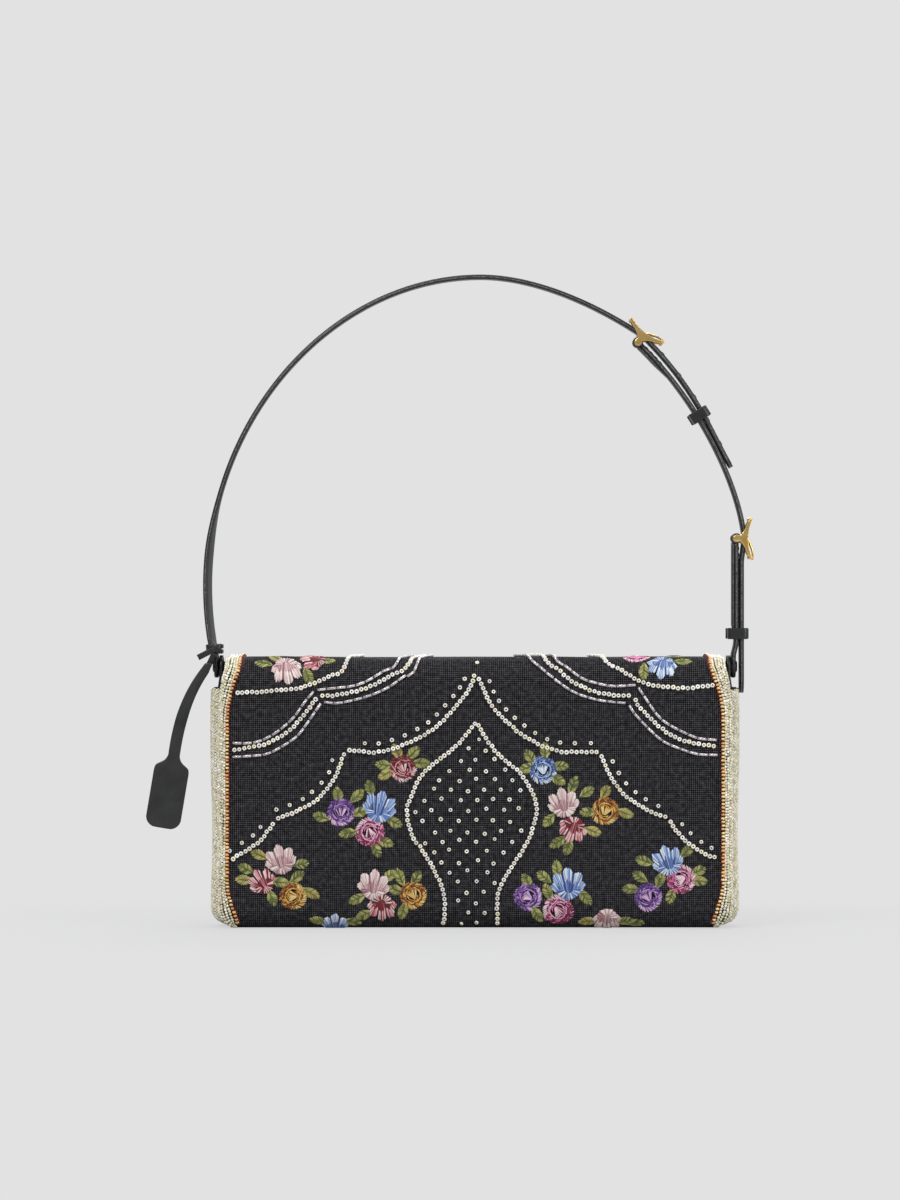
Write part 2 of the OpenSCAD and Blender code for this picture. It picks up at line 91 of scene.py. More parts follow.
class Body(Enum):
    """The moving bodies of the frame."""

    BAG = "bag"
    FLAP = "flap"
    STRAP = "strap"
    UPPER_PRONG = "upper_prong"
    LOWER_PRONG = "lower_prong"
    UPPER_KEEPER = "upper_keeper"
    LOWER_KEEPER = "lower_keeper"
    TAG_LOOP = "tag_loop"
    TAG = "tag"


class Slot(Enum):
    """The record's material slots."""

    CANVAS = "canvas"
    BEADWORK = "beadwork"
    LEATHER = "leather"
    GOLD = "gold"
    LINING = "lining"


# Shader work


def math_node(operation: str, swapped: bool = False) -> Callable[..., "Wire"]:
    """A method that joins a wire and another value by a Math node."""
    def method(wire: "Wire", other: object = 0.0) -> "Wire":
        pair = (other, wire) if swapped else (wire, other)
        return wire.bench.node("ShaderNodeMath", {"operation": operation}, dict(enumerate(pair)))
    return method


class Wire:
    """A shader value that can be used in sums.

    Args:
        bench: The nodes that the value belongs to.
        socket: The node output that carries it.
    """

    def __init__(self, bench: "Bench", socket: bpy.types.NodeSocket) -> None:
        self.bench = bench
        self.socket = socket

    __add__ = __radd__ = math_node("ADD")
    __mul__ = __rmul__ = math_node("MULTIPLY")
    __sub__ = math_node("SUBTRACT")
    __rsub__ = math_node("SUBTRACT", True)
    __abs__ = math_node("ABSOLUTE")
    sin = math_node("SINE")
    larger = math_node("MAXIMUM")


class Bench:
    """Shader nodes in the making.

    Args:
        tree: The nodes of a material or of the world.
    """

    def __init__(self, tree: bpy.types.NodeTree) -> None:
        self.tree = tree

    def feed(self, socket: bpy.types.NodeSocket, value: object) -> None:
        """Sets a socket's value, or links a wire to it."""
        if isinstance(value, Wire):
            self.tree.links.new(value.socket, socket)
        else:
            socket.default_value = value

    def node(self, kind: str, settings: dict[str, object], inputs: dict[Union[int, str], object],
             output: Union[int, str] = 0) -> Wire:
        """Adds a node.

        Args:
            kind: The node's type.
            settings: Its own settings, set before anything is linked.
            inputs: Values or wires for its sockets.
            output: The socket that the wire leaves by.

        Returns:
            A wire from that socket.
        """
        made = self.tree.nodes.new(kind)
        for name, value in settings.items():
            setattr(made, name, value)
        for key, value in inputs.items():
            self.feed(made.inputs[key], value)
        return Wire(self, made.outputs[output] if len(made.outputs) else None)

    def place(self, uv: bool = False) -> Wire:
        """Where a point is: in the object, or on the piece's own map."""
        return self.node("ShaderNodeTexCoord", {}, {}, "UV" if uv else "Object")

    def part(self, vector: Wire, axis: int) -> Wire:
        """One component of a vector."""
        return self.node("ShaderNodeSeparateXYZ", {}, {0: vector}, axis)

    def noise(self, vector: Wire, scale: float, detail: float = 2.0, rough: float = 0.5) -> Wire:
        """Cloudy noise from 0 to 1."""
        return self.node("ShaderNodeTexNoise", {}, {"Vector": vector, "Scale": scale, "Detail": detail,
                                                    "Roughness": rough})

    def cells(self, vector: Wire, scale: float) -> Wire:
        """Distances in a pattern of cells."""
        return self.node("ShaderNodeTexVoronoi", {}, {"Vector": vector, "Scale": scale})

    def ramp(self, value: Wire, *stops: tuple[float, Colour]) -> Wire:
        """A colour looked up by a value."""
        wire = self.node("ShaderNodeValToRGB", {}, {0: value})
        elements = wire.socket.node.color_ramp.elements
        while len(elements) < len(stops):
            elements.new(0.5)
        for element, (place, colour) in zip(elements, stops):
            element.position = place
            element.color = rgba(colour)
        return wire

    def blend(self, share: Wire, first: Wire, second: Colour, how: str = "MIX") -> Wire:
        """A mix of a wire's colour and a plain one."""
        return self.node("ShaderNodeMix", {"data_type": "RGBA", "blend_type": how},
                         {0: share, 6: first, 7: rgba(second)}, 2)

    def tint(self) -> Wire:
        """The colour stored on the piece's own vertices."""
        return self.node("ShaderNodeVertexColor", {"layer_name": "tint"}, {})


class Finish:
    """The start of a finished material: each kind adds its own nodes in look."""

    name: str

    def look(self, bench: Bench) -> dict[str, object]:
        """The values of the surface's sockets, with spaces as underscores."""
        raise NotImplementedError

    def bump(self, bench: Bench, height: Wire, depth: float, strength: float = 1.0) -> Wire:
        """Bent normals, from a height in parts of a depth in mm."""
        return bench.node("ShaderNodeBump", {}, {"Strength": strength, "Distance": depth * MM,
                                                 "Height": height})

    def make(self) -> Material:
        """Builds the material."""
        material = bpy.data.materials.new(self.name)
        material.use_nodes = True
        bench = Bench(material.node_tree)
        shader = bench.tree.nodes["Principled BSDF"]
        for name, value in self.look(bench).items():
            bench.feed(shader.inputs[name.replace("_", " ")], value)
        return material


def rgba(colour: Colour) -> tuple[float, float, float, float]:
    """A colour with full cover."""
    return (*colour, 1.0)


def linear(*levels: int) -> Colour:
    """A screen colour, 0 to 255, as the light it stands for."""
    shares = (level / 255 for level in levels)
    return tuple(share / 12.92 if share <= 0.04045 else ((share + 0.055) / 1.055) ** 2.4
                 for share in shares)


def hues(*rows: Triple) -> tuple[Colour, ...]:
    """Several screen colours as the light they stand for."""
    return tuple(linear(*row) for row in rows)


# Finishes


@dataclass(frozen=True)
class CoarseCanvas(Finish):
    """Black open-weave canvas on the piece's own map, which is in metres.

    Args:
        pitch: Distance between threads, in mm.
        depth: Height of the weave, in mm.
    """

    name: str = "coarse_canvas"
    pitch: float = 1.1
    depth: float = 0.24
    # The darkest colour, low in the weave: painted shade between the threads; it also tints the dark flecks.
    gap: Colour = linear(4, 4, 5)
    thread: Colour = linear(32, 31, 33)
    # The lightest colour, on the weave's crests: painted highlight, with the slubs' own paler tone.
    pale_and_highlit: Colour = linear(116, 113, 119)

    def look(self, bench: Bench) -> dict[str, object]:
        """Threads that sway and cross over and under, with slubs and flecks; painted shade darkens the gaps
        low in the weave and painted highlight lightens its crests.
        """
        place = bench.place(uv=True)
        sway = bench.noise(place, 55.0) * 0.0007
        turns = math.pi / (self.pitch * MM)
        across = (bench.part(place, 0) + sway) * turns
        along = (bench.part(place, 1) + sway * 0.8) * turns
        over = across.sin() * along.sin()
        height = (abs(across.sin()) * (over * 0.5 + 0.5)).larger(abs(along.sin()) * (0.5 - over * 0.5))
        slub = bench.noise(place, 420.0, 3.0)
        fleck = bench.noise(place, 1900.0, 2.0)
        lit = bench.ramp(height * 0.62 + slub * 0.55, (0.36, self.gap), (0.66, self.thread),
                         (0.98, self.pale_and_highlit))
        return {"Base_Color": bench.blend(fleck * 0.5, lit, self.gap), "Roughness": 0.85,
                "Specular_IOR_Level": 0.15, "Normal": self.bump(bench, height + fleck * 0.25, self.depth)}


@dataclass(frozen=True)
class Twill(Finish):
    """Smooth diagonal twill for the lining.

    Args:
        pitch: Distance between ribs, in mm.
    """

    name: str = "lining_twill"
    pitch: float = 0.6
    low: Colour = linear(28, 25, 26)
    high: Colour = linear(62, 56, 56)

    def look(self, bench: Bench) -> dict[str, object]:
        """Slanted ribs with cloudy wear."""
        place = bench.place()
        slant = bench.part(place, 0) + bench.part(place, 2) + bench.part(place, 1)
        rib = (slant * (math.tau / (self.pitch * MM))).sin() * 0.5 + 0.5
        colour = bench.ramp(rib * 0.6 + bench.noise(place, 60.0) * 0.4, (0.2, self.low), (0.85, self.high))
        return {"Base_Color": colour, "Roughness": 0.6, "Normal": self.bump(bench, rib, 0.08, 0.6)}


@dataclass(frozen=True)
class Glass(Finish):
    """Glass beads tinted one by one.

    Args:
        rough: How dull the glass is.
        metal: How much silver shows through it.
    """

    name: str
    rough: float = 0.16
    metal: float = 0.0

    def look(self, bench: Bench) -> dict[str, object]:
        """A hazy tint under a clear coat."""
        haze = bench.noise(bench.place(), 900.0)
        return {"Base_Color": bench.blend(haze * 0.35, bench.tint(), (0.9, 0.88, 0.8), "MULTIPLY"),
                "Roughness": haze * 0.12 + self.rough, "Metallic": self.metal, "Coat_Weight": 0.6,
                "Coat_Roughness": 0.06}


@dataclass(frozen=True)
class Floss(Finish):
    """Embroidery floss tinted strand by strand."""

    name: str = "embroidery_floss"

    def look(self, bench: Bench) -> dict[str, object]:
        """Fine fibres with a faint sheen."""
        fibre = bench.noise(bench.place(), 2600.0, 3.0)
        return {"Base_Color": bench.blend(fibre * 0.55, bench.tint(), (0.45, 0.42, 0.42), "MULTIPLY"),
                "Roughness": 0.48, "Sheen_Weight": 0.15, "Sheen_Roughness": 0.4,
                "Normal": self.bump(bench, fibre, 0.06, 0.5)}


@dataclass(frozen=True)
class CalfLeather(Finish):
    """Black calf leather with a fine grain.

    Args:
        base: Its colour.
        rough: How matt it is.
        grain: Depth of the grain in mm.
    """

    name: str
    base: Colour
    rough: float = 0.42
    grain: float = 0.05

    def look(self, bench: Bench) -> dict[str, object]:
        """Pores over a cloudy shade."""
        place = bench.place()
        pore = bench.cells(place, 1500.0)
        cloud = bench.noise(place, 90.0, 3.0)
        lighter = tuple(min(1.0, level * 2.1 + 0.006) for level in self.base)
        return {"Base_Color": bench.ramp(cloud, (0.3, self.base), (0.8, lighter)),
                "Roughness": cloud * 0.16 + self.rough - 0.08,
                "Normal": self.bump(bench, pore + cloud * 0.5, self.grain, 0.7)}


@dataclass(frozen=True)
class HighlitCreasedLeather(Finish):
    """The finely creased face of a bent strap: black, with painted grey highlight on the high ridges of its
    creases.
    """

    name: str = "highlit_creased_leather"
    low: Colour = linear(26, 26, 27)
    # The pale colour is painted highlight on the creases' ridges.
    high: Colour = linear(112, 112, 113)

    def look(self, bench: Bench) -> dict[str, object]:
        """Creases between cells, broken by noise, painted lighter as a highlight where they stand high."""
        place = bench.place()
        value = bench.cells(place, 900.0) * 0.5 + bench.noise(place, 420.0, 4.0, 0.7) * 0.6
        return {"Base_Color": bench.ramp(value, (0.35, self.low), (0.75, self.high)), "Roughness": 0.55,
                "Normal": self.bump(bench, value, 0.14)}


@dataclass(frozen=True)
class PolishedMetal(Finish):
    """Polished metal with faint wear."""

    name: str = "polished_gold"
    base: Colour = (0.86, 0.54, 0.16)
    pale: Colour = (0.95, 0.70, 0.32)

    def look(self, bench: Bench) -> dict[str, object]:
        """Cloudy polish and fine scratches."""
        place = bench.place()
        cloud = bench.noise(place, 160.0, 3.0)
        return {"Base_Color": bench.ramp(cloud, (0.3, self.base), (0.8, self.pale)), "Metallic": 1.0,
                "Roughness": cloud * 0.1 + 0.14,
                "Normal": self.bump(bench, bench.noise(place, 2200.0, 1.0), 0.01, 0.4)}


@dataclass(frozen=True)
class PressedBoard(Finish):
    """Brown pressed board under the lining."""

    name: str = "pressed_board"

    def look(self, bench: Bench) -> dict[str, object]:
        """Short brown fibres."""
        fibre = bench.noise(bench.place(), 700.0, 4.0, 0.7)
        return {"Base_Color": bench.ramp(fibre, (0.3, linear(92, 70, 48)), (0.7, linear(142, 112, 80))),
                "Roughness": 0.9, "Normal": self.bump(bench, fibre, 0.1)}


class Finishes:
    """The finished materials, each made once."""

    def __init__(self) -> None:
        self.canvas = CoarseCanvas().make()
        self.lining = Twill().make()
        self.ivory = Glass("ivory_beads").make()
        self.amber = Glass("amber_beads", 0.12).make()
        self.silver = Glass("silver_bugles", 0.14, 0.55).make()
        self.floss = Floss().make()
        self.leather = CalfLeather("calf_leather", linear(20, 20, 20)).make()
        self.edge = CalfLeather("painted_edge", linear(14, 14, 14), 0.34, 0.02).make()
        self.creased = HighlitCreasedLeather().make()
        self.stitch = CalfLeather("waxed_stitch", linear(30, 30, 31), 0.5, 0.03).make()
        self.gold = PolishedMetal().make()
        self.black_metal = PolishedMetal("blackened_metal", (0.03, 0.03, 0.03), (0.07, 0.068, 0.066)).make()
        self.board = PressedBoard().make()

    def hide(self, inner: str = "creased") -> list[Material]:
        """Leather with painted edges: its outer face, its edges and its inner face."""
        # The last option gives both faces the creased leather, with its painted highlight.
        faces = {"creased": (self.leather, self.creased), "leather": (self.leather, self.leather),
                 "pale_and_highlit": (self.creased, self.creased)}[inner]
        return [faces[0], self.edge, faces[1]]


# Surfaces that the canvas, beads and floss all follow


def soft_step(value: Rows, low: float, high: float) -> Rows:
    """Rises smoothly from 0 at low to 1 at high."""
    share = np.clip((value - low) / (high - low), 0.0, 1.0)
    return share * share * (3.0 - 2.0 * share)


def lengths(path: Rows) -> Rows:
    """The distance along a path at each of its points."""
    return np.concatenate(((0.0,), np.cumsum(np.linalg.norm(np.diff(path, axis=0), axis=1))))


class Skin:
    """A curved surface with a coordinate across it and one down it, both in mm."""

    outward: float = 1.0

    def point(self, across: Rows, down: Rows) -> Rows:
        """Points on the surface, one row each."""
        raise NotImplementedError

    def axes(self, across: Rows, down: Rows) -> tuple[Rows, Rows, Rows]:
        """Unit vectors across, down and out of the surface at each point."""
        step = 0.05
        wide = self.point(across + step, down) - self.point(across - step, down)
        deep = self.point(across, down + step) - self.point(across, down - step)
        wide /= np.linalg.norm(wide, axis=1, keepdims=True) + 1e-9
        deep /= np.linalg.norm(deep, axis=1, keepdims=True) + 1e-9
        out = np.cross(deep, wide) * self.outward
        out /= np.linalg.norm(out, axis=1, keepdims=True) + 1e-9
        return wide, deep, out

    def place(self, across: Rows, down: Rows, lift: Rows) -> Rows:
        """Points raised off the surface by lift."""
        return self.point(across, down) + self.axes(across, down)[2] * np.reshape(lift, (-1, 1))


@dataclass
class FlapForm(Skin):
    """The flap's face, from the hinge over the top and down to its wrapped lower edge.

    Args:
        half_w: Half the width of the flat canvas.
        top_h: Height of the flap's top.
        front: Distance of its face in front of the bag's middle.
        hinge_y: Distance of the hinge behind the bag's middle.
        side_x: Outermost point of the side border.
    """

    half_w: float
    top_h: float
    front: float
    hinge_y: float
    side_x: float
    top_r: float = 13.0
    low_r: float = 12.3
    low_z: float = 11.2
    wrap: float = math.radians(58)
    corner_r: float = 9.0
    edge_r: float = 2.0
    puff: float = 1.1
    ripple: float = 1.0

    def __post_init__(self) -> None:
        self.bend_at = self.hinge_y + self.front - self.top_r
        self.fall_at = self.bend_at + self.top_r * math.pi / 2
        self.top_z = self.top_h - self.top_r
        self.curl_at = self.fall_at + self.top_z - self.low_z
        self.length = self.curl_at + self.low_r * self.wrap
        self.low_end = self.low_z - self.low_r * math.sin(self.wrap)

    def down_at(self, height: Rows) -> Rows:
        """The distance down the flap at which its front has a given height."""
        bend = self.bend_at + self.top_r * np.arccos(np.clip((height - self.top_z) / self.top_r, -1, 1))
        curl = self.curl_at + self.low_r * np.arcsin(np.clip((self.low_z - height) / self.low_r, -1, 1))
        flat = self.fall_at + self.top_z - height
        return np.where(height > self.top_z, bend, np.where(height < self.low_z, curl, flat))

    def height_at(self, down: Rows) -> Rows:
        """The height of the flap's face at a distance down it."""
        bend = self.top_z + self.top_r * np.cos(np.clip((down - self.bend_at) / self.top_r, 0, math.pi / 2))
        curl = self.low_z - self.low_r * np.sin(np.clip((down - self.curl_at) / self.low_r, 0, None))
        flat = self.top_z - (down - self.fall_at)
        return np.where(down < self.fall_at, bend, np.where(down > self.curl_at, curl, flat))

    def reach(self, down: Rows) -> Rows:
        """The outermost distance from the middle at a distance down the flap."""
        height = self.height_at(down)
        narrow = np.interp(height, (self.top_z - 16, self.top_z + 3, self.top_z + 9.5),
                           (self.side_x, self.side_x - 2.2, self.half_w + 2))
        drop = np.clip(self.low_end + self.corner_r - height, 0, self.corner_r)
        rounding = self.corner_r - np.sqrt(np.maximum(self.corner_r ** 2 - drop ** 2, 0))
        return narrow - rounding

    def edge(self, down: Rows) -> Rows:
        """How far the surface goes across, from the middle round the side to its edge."""
        radius = self.side_radius(down)
        return self.reach(down) - radius + radius * math.pi / 2

    def side_radius(self, down: Rows) -> Rows:
        """The radius at which the side turns back."""
        return np.clip(self.reach(down) - self.half_w, self.edge_r, self.side_x - self.half_w)

    def seam(self, down: Rows) -> Rows:
        """Where the bare canvas ends and the beaded border starts."""
        height = self.height_at(down)
        lean = 6.8 * soft_step(height, 100.0, self.top_h) ** 2.6 + 5.4 * soft_step(-height, -28.0, 0.0) ** 1.6
        return self.half_w + 0.2 - lean

    def puffing(self, across: Rows, down: Rows) -> Rows:
        """How far the soft face stands out from its plain form."""
        share = np.clip(np.abs(across) / self.half_w, 0, 1)
        tall = np.clip((down - self.bend_at) / (self.length - self.bend_at), 0, 1)
        crown = self.puff * (1 - share ** 4) * np.sin(tall * math.pi) ** 0.7
        near_top = np.exp(-((down - self.bend_at - 8) / 22) ** 2)
        waves = np.sin(across / 19.0 + 0.6) * 0.5 + np.sin(across / 8.7 + 2.0) * 0.22
        waves += np.sin(across / 41.0 - 1.0) * 0.5 - 0.9 * np.exp(-(across / 14.0) ** 2)
        waves -= 1.7 * soft_step(np.abs(across), 100.0, self.half_w)
        dents = np.sin(across / 27.0 + down / 33.0) * np.sin(down / 21.0 - across / 60.0) * 0.3
        return crown + self.ripple * waves * near_top + dents * (1 - share ** 6)

    def point(self, across: Rows, down: Rows) -> Rows:
        """Points on the flap's face."""
        bend = np.clip((down - self.bend_at) / self.top_r, 0, math.pi / 2)
        curl = np.clip((down - self.curl_at) / self.low_r, 0, None)
        turn = np.where(down > self.curl_at, math.pi / 2 + curl, bend)
        out_y = -np.sin(turn)
        out_z = np.cos(turn)
        top_y = self.hinge_y - np.minimum(down, self.bend_at)
        y = np.where(down < self.fall_at, top_y - self.top_r * np.sin(bend), -self.front)
        y = np.where(down > self.curl_at, self.low_r - self.front - self.low_r * np.cos(curl), y)
        z = self.height_at(down)
        radius = self.side_radius(down)
        flat = self.reach(down) - radius
        sweep = np.clip((np.abs(across) - flat) / radius, 0, None)
        x = np.where(sweep > 0, flat + radius * np.sin(sweep), np.abs(across)) * np.sign(across)
        sink = radius * (1 - np.cos(sweep)) - self.puffing(across, down) * np.cos(np.minimum(sweep, 1.5))
        return np.stack((x, y - out_y * sink, z - out_z * sink), axis=1)


@dataclass
class BodyForm(Skin):
    """The canvas of the body: down the front, under the base and up the back.

    Args:
        half_d: Half the body's depth.
        front_top: Height of the front panel.
        back_top: Height of the back panel.
        half_w: Half its width.
        neck_z: Height from which its top is drawn in.
        sink: How far the front's canvas lies behind the faces of the snaps.
    """

    half_d: float
    front_top: float
    back_top: float
    half_w: float
    neck_z: float
    edge_r: float = 9.0
    low_z: float = 2.2
    neck: float = 2.0
    puff: float = 1.3
    sink: float = 0.25

    def __post_init__(self) -> None:
        self.flat = self.front_top - self.low_z - self.edge_r
        self.arc = self.edge_r * math.pi / 2
        self.base = 2 * (self.half_d - self.edge_r)
        self.rise_at = self.flat + 2 * self.arc + self.base
        self.length = self.rise_at + self.back_top - self.low_z - self.edge_r

    def down_at(self, height: Rows) -> Rows:
        """The distance along the canvas at which the back has a given height."""
        return self.rise_at + height - self.low_z - self.edge_r

    def point(self, across: Rows, down: Rows) -> Rows:
        """Points on the body's canvas."""
        first = np.clip((down - self.flat) / self.edge_r, 0, math.pi / 2)
        second = np.clip((down - self.flat - self.arc - self.base) / self.edge_r, 0, math.pi / 2)
        under = np.clip(down - self.flat - self.arc, 0, self.base)
        turn = first + second
        centre = self.low_z + self.edge_r
        climb = np.clip(down - self.rise_at, 0, None)
        y = np.where(second > 0, self.half_d - self.edge_r + self.edge_r * np.sin(second),
                     self.edge_r - self.half_d - self.edge_r * np.cos(first) + under)
        z = centre + self.flat - np.minimum(down, self.flat) - self.edge_r * np.sin(turn) + climb
        share = np.clip(np.abs(across) / self.half_w, 0, 1)
        tall = np.clip(climb / (self.length - self.rise_at), 0, 1)
        crown = self.puff * (1 - share ** 4) * np.sin(tall * math.pi) ** 0.7
        dents = np.sin(across / 31.0 + down / 37.0) * np.sin(down / 24.0 - across / 70.0) * 0.3
        neck = self.neck * soft_step(z, self.neck_z, self.back_top)
        y = y + (crown + dents * (1 - share ** 6)) * (climb > 0) - neck
        lean = neck + self.sink * soft_step(z, centre, 2 * centre)
        y = np.where(climb > 0, y, y + lean)
        return np.stack((across, y, z), axis=1)


@dataclass
class GussetForm(Skin):
    """The bulging end of the body. Across runs round its plan, from back to front.

    Args:
        side: 1 on the right and -1 on the left.
    """

    side: float
    half_w: float
    half_d: float
    reach: float
    top: float
    corner_r: float = 4.4
    edge_r: float = 9.0
    low_z: float = 2.2
    wave: float = 0.5

    def __post_init__(self) -> None:
        self.corner_y = self.half_d - self.corner_r
        rise = self.reach - self.half_w - self.corner_r
        self.bulge_r = (self.corner_y ** 2 + rise ** 2) / (2 * rise)
        self.lean = math.asin(self.corner_y / self.bulge_r)
        self.bulge = self.bulge_r * self.lean
        self.half = self.bulge + self.corner_r * (math.pi / 2 - self.lean)
        self.flat = self.top - self.low_z - self.edge_r
        self.length = self.flat + self.edge_r * math.pi / 2
        self.outward = -self.side

    def point(self, across: Rows, down: Rows) -> Rows:
        """Points on the gusset."""
        size = np.abs(across)
        sweep = np.minimum(size, self.bulge) / self.bulge_r
        corner = self.lean + np.clip(size - self.bulge, 0, None) / self.corner_r
        x = np.where(size <= self.bulge, self.reach - self.bulge_r * (1 - np.cos(sweep)),
                     self.half_w + self.corner_r * np.cos(corner))
        y = np.where(size <= self.bulge, self.bulge_r * np.sin(sweep),
                     self.corner_y + self.corner_r * np.sin(corner))
        turn = np.clip((down - self.flat) / self.edge_r, 0, math.pi / 2)
        inset = self.edge_r * (1 - np.cos(turn))
        z = self.low_z + self.edge_r + self.flat - np.minimum(down, self.flat) - self.edge_r * np.sin(turn)
        y = y * (self.half_d - inset) / self.half_d
        x = self.half_w + (x - self.half_w) * (1 - 0.9 * inset / (self.reach - self.half_w))
        sway = self.wave * np.sin(down / 17.0 + across / 30.0) * np.clip(1 - (size / self.half) ** 4, 0, 1)
        return np.stack(((x + sway * (turn < 1)) * self.side, -y * np.sign(across), z), axis=1)


# Mesh making


def publish(name: str, work: Mesh, finish: Union[Material, Sequence[Material]], smooth: bool = True) -> Piece:
    """Turns a mesh in mm into an object in metres.

    Args:
        name: The piece's name.
        work: The mesh, which is freed.
        finish: Its material, or one for each material index.
        smooth: Whether its faces are shaded smooth.

    Returns:
        The object, linked to the scene.
    """
    bmesh.ops.scale(work, vec=(MM, MM, MM), verts=work.verts)
    mesh = bpy.data.meshes.new(name)
    work.to_mesh(mesh)
    work.free()
    for material in (finish if isinstance(finish, list) else [finish]):
        mesh.materials.append(material)
    mesh.polygons.foreach_set("use_smooth", [smooth] * len(mesh.polygons))
    piece = bpy.data.objects.new(name, mesh)
    bpy.context.collection.objects.link(piece)
    return piece


def settle(piece: Piece, body: Body, slot: Slot, *nodes: str) -> Piece:
    """Rides a piece on its body and hides the nodes that it stands for."""
    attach(piece, body.value)
    if nodes:
        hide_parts(*nodes)
    log.info("%s: %d faces on %s", piece.name, len(piece.data.polygons), body.value)
    return piece


def stretch(cloth: Piece, wide: float, long: float, over: str) -> None:
    """Takes a cloth, the size in mm that it was cut to and the piece that it lies over, and does nothing with
    them.
    """


def sheet_over(skin: Skin, across: Pair, down: Pair, counts: tuple[int, int], lift: float = 0.0,
               edge: Optional[Callable[[Rows], Rows]] = None) -> Mesh:
    """A grid laid over a skin, with a map in metres.

    Args:
        skin: The surface that it follows.
        across: Its limits across, or shares of the edge where one is given.
        down: Its limits down.
        counts: How many faces each way.
        lift: How far off the skin it lies.
        edge: The skin's own limit across at each distance down.

    Returns:
        The grid as a mesh in mm.
    """
    work = bmesh.new()
    bmesh.ops.create_grid(work, x_segments=counts[0], y_segments=counts[1], size=0.5)
    flat = np.array([vert.co[:2] for vert in work.verts]) + 0.5
    deep = down[0] + flat[:, 1] * (down[1] - down[0])
    wide = across[0] + flat[:, 0] * (across[1] - across[0])
    if edge is not None:
        wide = wide * edge(deep)
    work.verts.index_update()
    layer = work.loops.layers.uv.new("UVMap")
    for face in work.faces:
        for loop in face.loops:
            spot = loop.vert.index
            loop[layer].uv = (wide[spot] * MM, -deep[spot] * MM)
    for vert, point in zip(work.verts, skin.place(wide, deep, np.full(len(deep), lift))):
        vert.co = point
    work.normal_update()
    work.verts.ensure_lookup_table()
    middle = len(work.verts) // 2
    out = skin.axes(wide[middle:middle + 1], deep[middle:middle + 1])[2][0]
    if work.verts[middle].normal.dot(Vector(out)) < 0:
        bmesh.ops.reverse_faces(work, faces=work.faces)
    return work


def thicken(piece: Piece, depth: float) -> None:
    """Gives a sheet its thickness inwards."""
    wall = piece.modifiers.new("thickness", "SOLIDIFY")
    wall.thickness = depth * MM
    wall.offset = -1.0
    wall.use_even_offset = False


class Stamp:
    """A small shape that is pressed many times into one mesh.

    Args:
        shape: The shape, in mm: x along its line, y across it and z out of the surface.
        shading: How light each of its points is, as painted light and shade.
    """

    def __init__(self, shape: Mesh, shading: Optional[Callable[[Rows], Rows]] = None) -> None:
        self.mesh = bpy.data.meshes.new("stamp")
        shape.to_mesh(self.mesh)
        shape.free()
        points = np.empty(len(self.mesh.vertices) * 3)
        self.mesh.vertices.foreach_get("co", points)
        self.points = points.reshape(-1, 3)
        self.lights = np.ones(len(self.points)) if shading is None else shading(self.points)
        self.work = bmesh.new()
        self.tints: list[Colour] = []

    def press(self, points: Rows, tint: Colour = (0.5, 0.5, 0.5)) -> None:
        """Adds one copy with its vertices at the points given, none of them under the floor."""
        points = np.maximum(points, (-np.inf, -np.inf, FLOOR_GAP))
        self.mesh.vertices.foreach_set("co", np.ascontiguousarray(points, np.float32).ravel())
        self.work.from_mesh(self.mesh)
        self.tints.append(tint)

    def beads(self, skin: Skin, spots: Rows, headings: Rows, sizes: Rows, tints: Sequence[Colour],
              lift: float = 0.0, leans: Optional[Rows] = None) -> None:
        """Presses one copy at each spot on a skin.

        Args:
            skin: The surface.
            spots: Across and down for each copy.
            headings: The angle of each line of beads, from across towards down.
            sizes: The scale of each copy.
            tints: The colour of each copy.
            lift: How far off the skin the copies sit.
            leans: How far each copy tips over its line, in radians.
        """
        wide, deep, out = skin.axes(spots[:, 0], spots[:, 1])
        base = skin.point(spots[:, 0], spots[:, 1]) + out * lift
        ahead = np.cos(headings)[:, None] * wide + np.sin(headings)[:, None] * deep
        beside = np.cross(out, ahead)
        if leans is not None:
            out = np.cos(leans)[:, None] * out + np.sin(leans)[:, None] * beside
            beside = np.cross(out, ahead)
        for i, tint in enumerate(tints):
            self.press(base[i] + self.points @ np.stack((ahead[i], beside[i], out[i])) * sizes[i], tint)

    def strand(self, skin: Skin, start: Pair, end: Pair, width: float, height: float, tint: Colour,
               lift: float = 0.0, bow: float = 0.0) -> None:
        """Lays a stitch from start to end, following the skin.

        Args:
            skin: The surface.
            start: Where the thread comes up, across and down.
            end: Where it goes in.
            width: The thread's width.
            height: How high it stands.
            tint: Its colour.
            lift: Height of the cloth or the stitches under it.
            bow: How far its middle bends to one side.
        """
        first = np.array(start)
        run = np.array(end) - first
        side = np.array((-run[1], run[0])) / (float(np.hypot(*run)) + 1e-6)
        share = self.points[:, 0]
        swing = self.points[:, 1] * width + bow * 4 * share * (1 - share)
        flat = first + share[:, None] * run + swing[:, None] * side
        self.press(skin.place(flat[:, 0], flat[:, 1], self.points[:, 2] * height + lift), tint)

    def publish(self, name: str, finish: Material) -> Piece:
        """Makes the object, with each copy's colour, times the painted light and shade of its points, stored
        on its vertices.
        """
        piece = publish(name, self.work, finish)
        layer = piece.data.color_attributes.new("tint", "FLOAT_COLOR", "POINT")
        rows = np.repeat(np.array([rgba(tint) for tint in self.tints], np.float32), len(self.points), axis=0)
        # The shape's painted light and shade scale each copy's colour.
        rows[:, :3] *= np.tile(self.lights, len(self.tints))[:, None]
        layer.data.foreach_set("color", rows.ravel())
        bpy.data.meshes.remove(self.mesh)
        return piece


# The small shapes


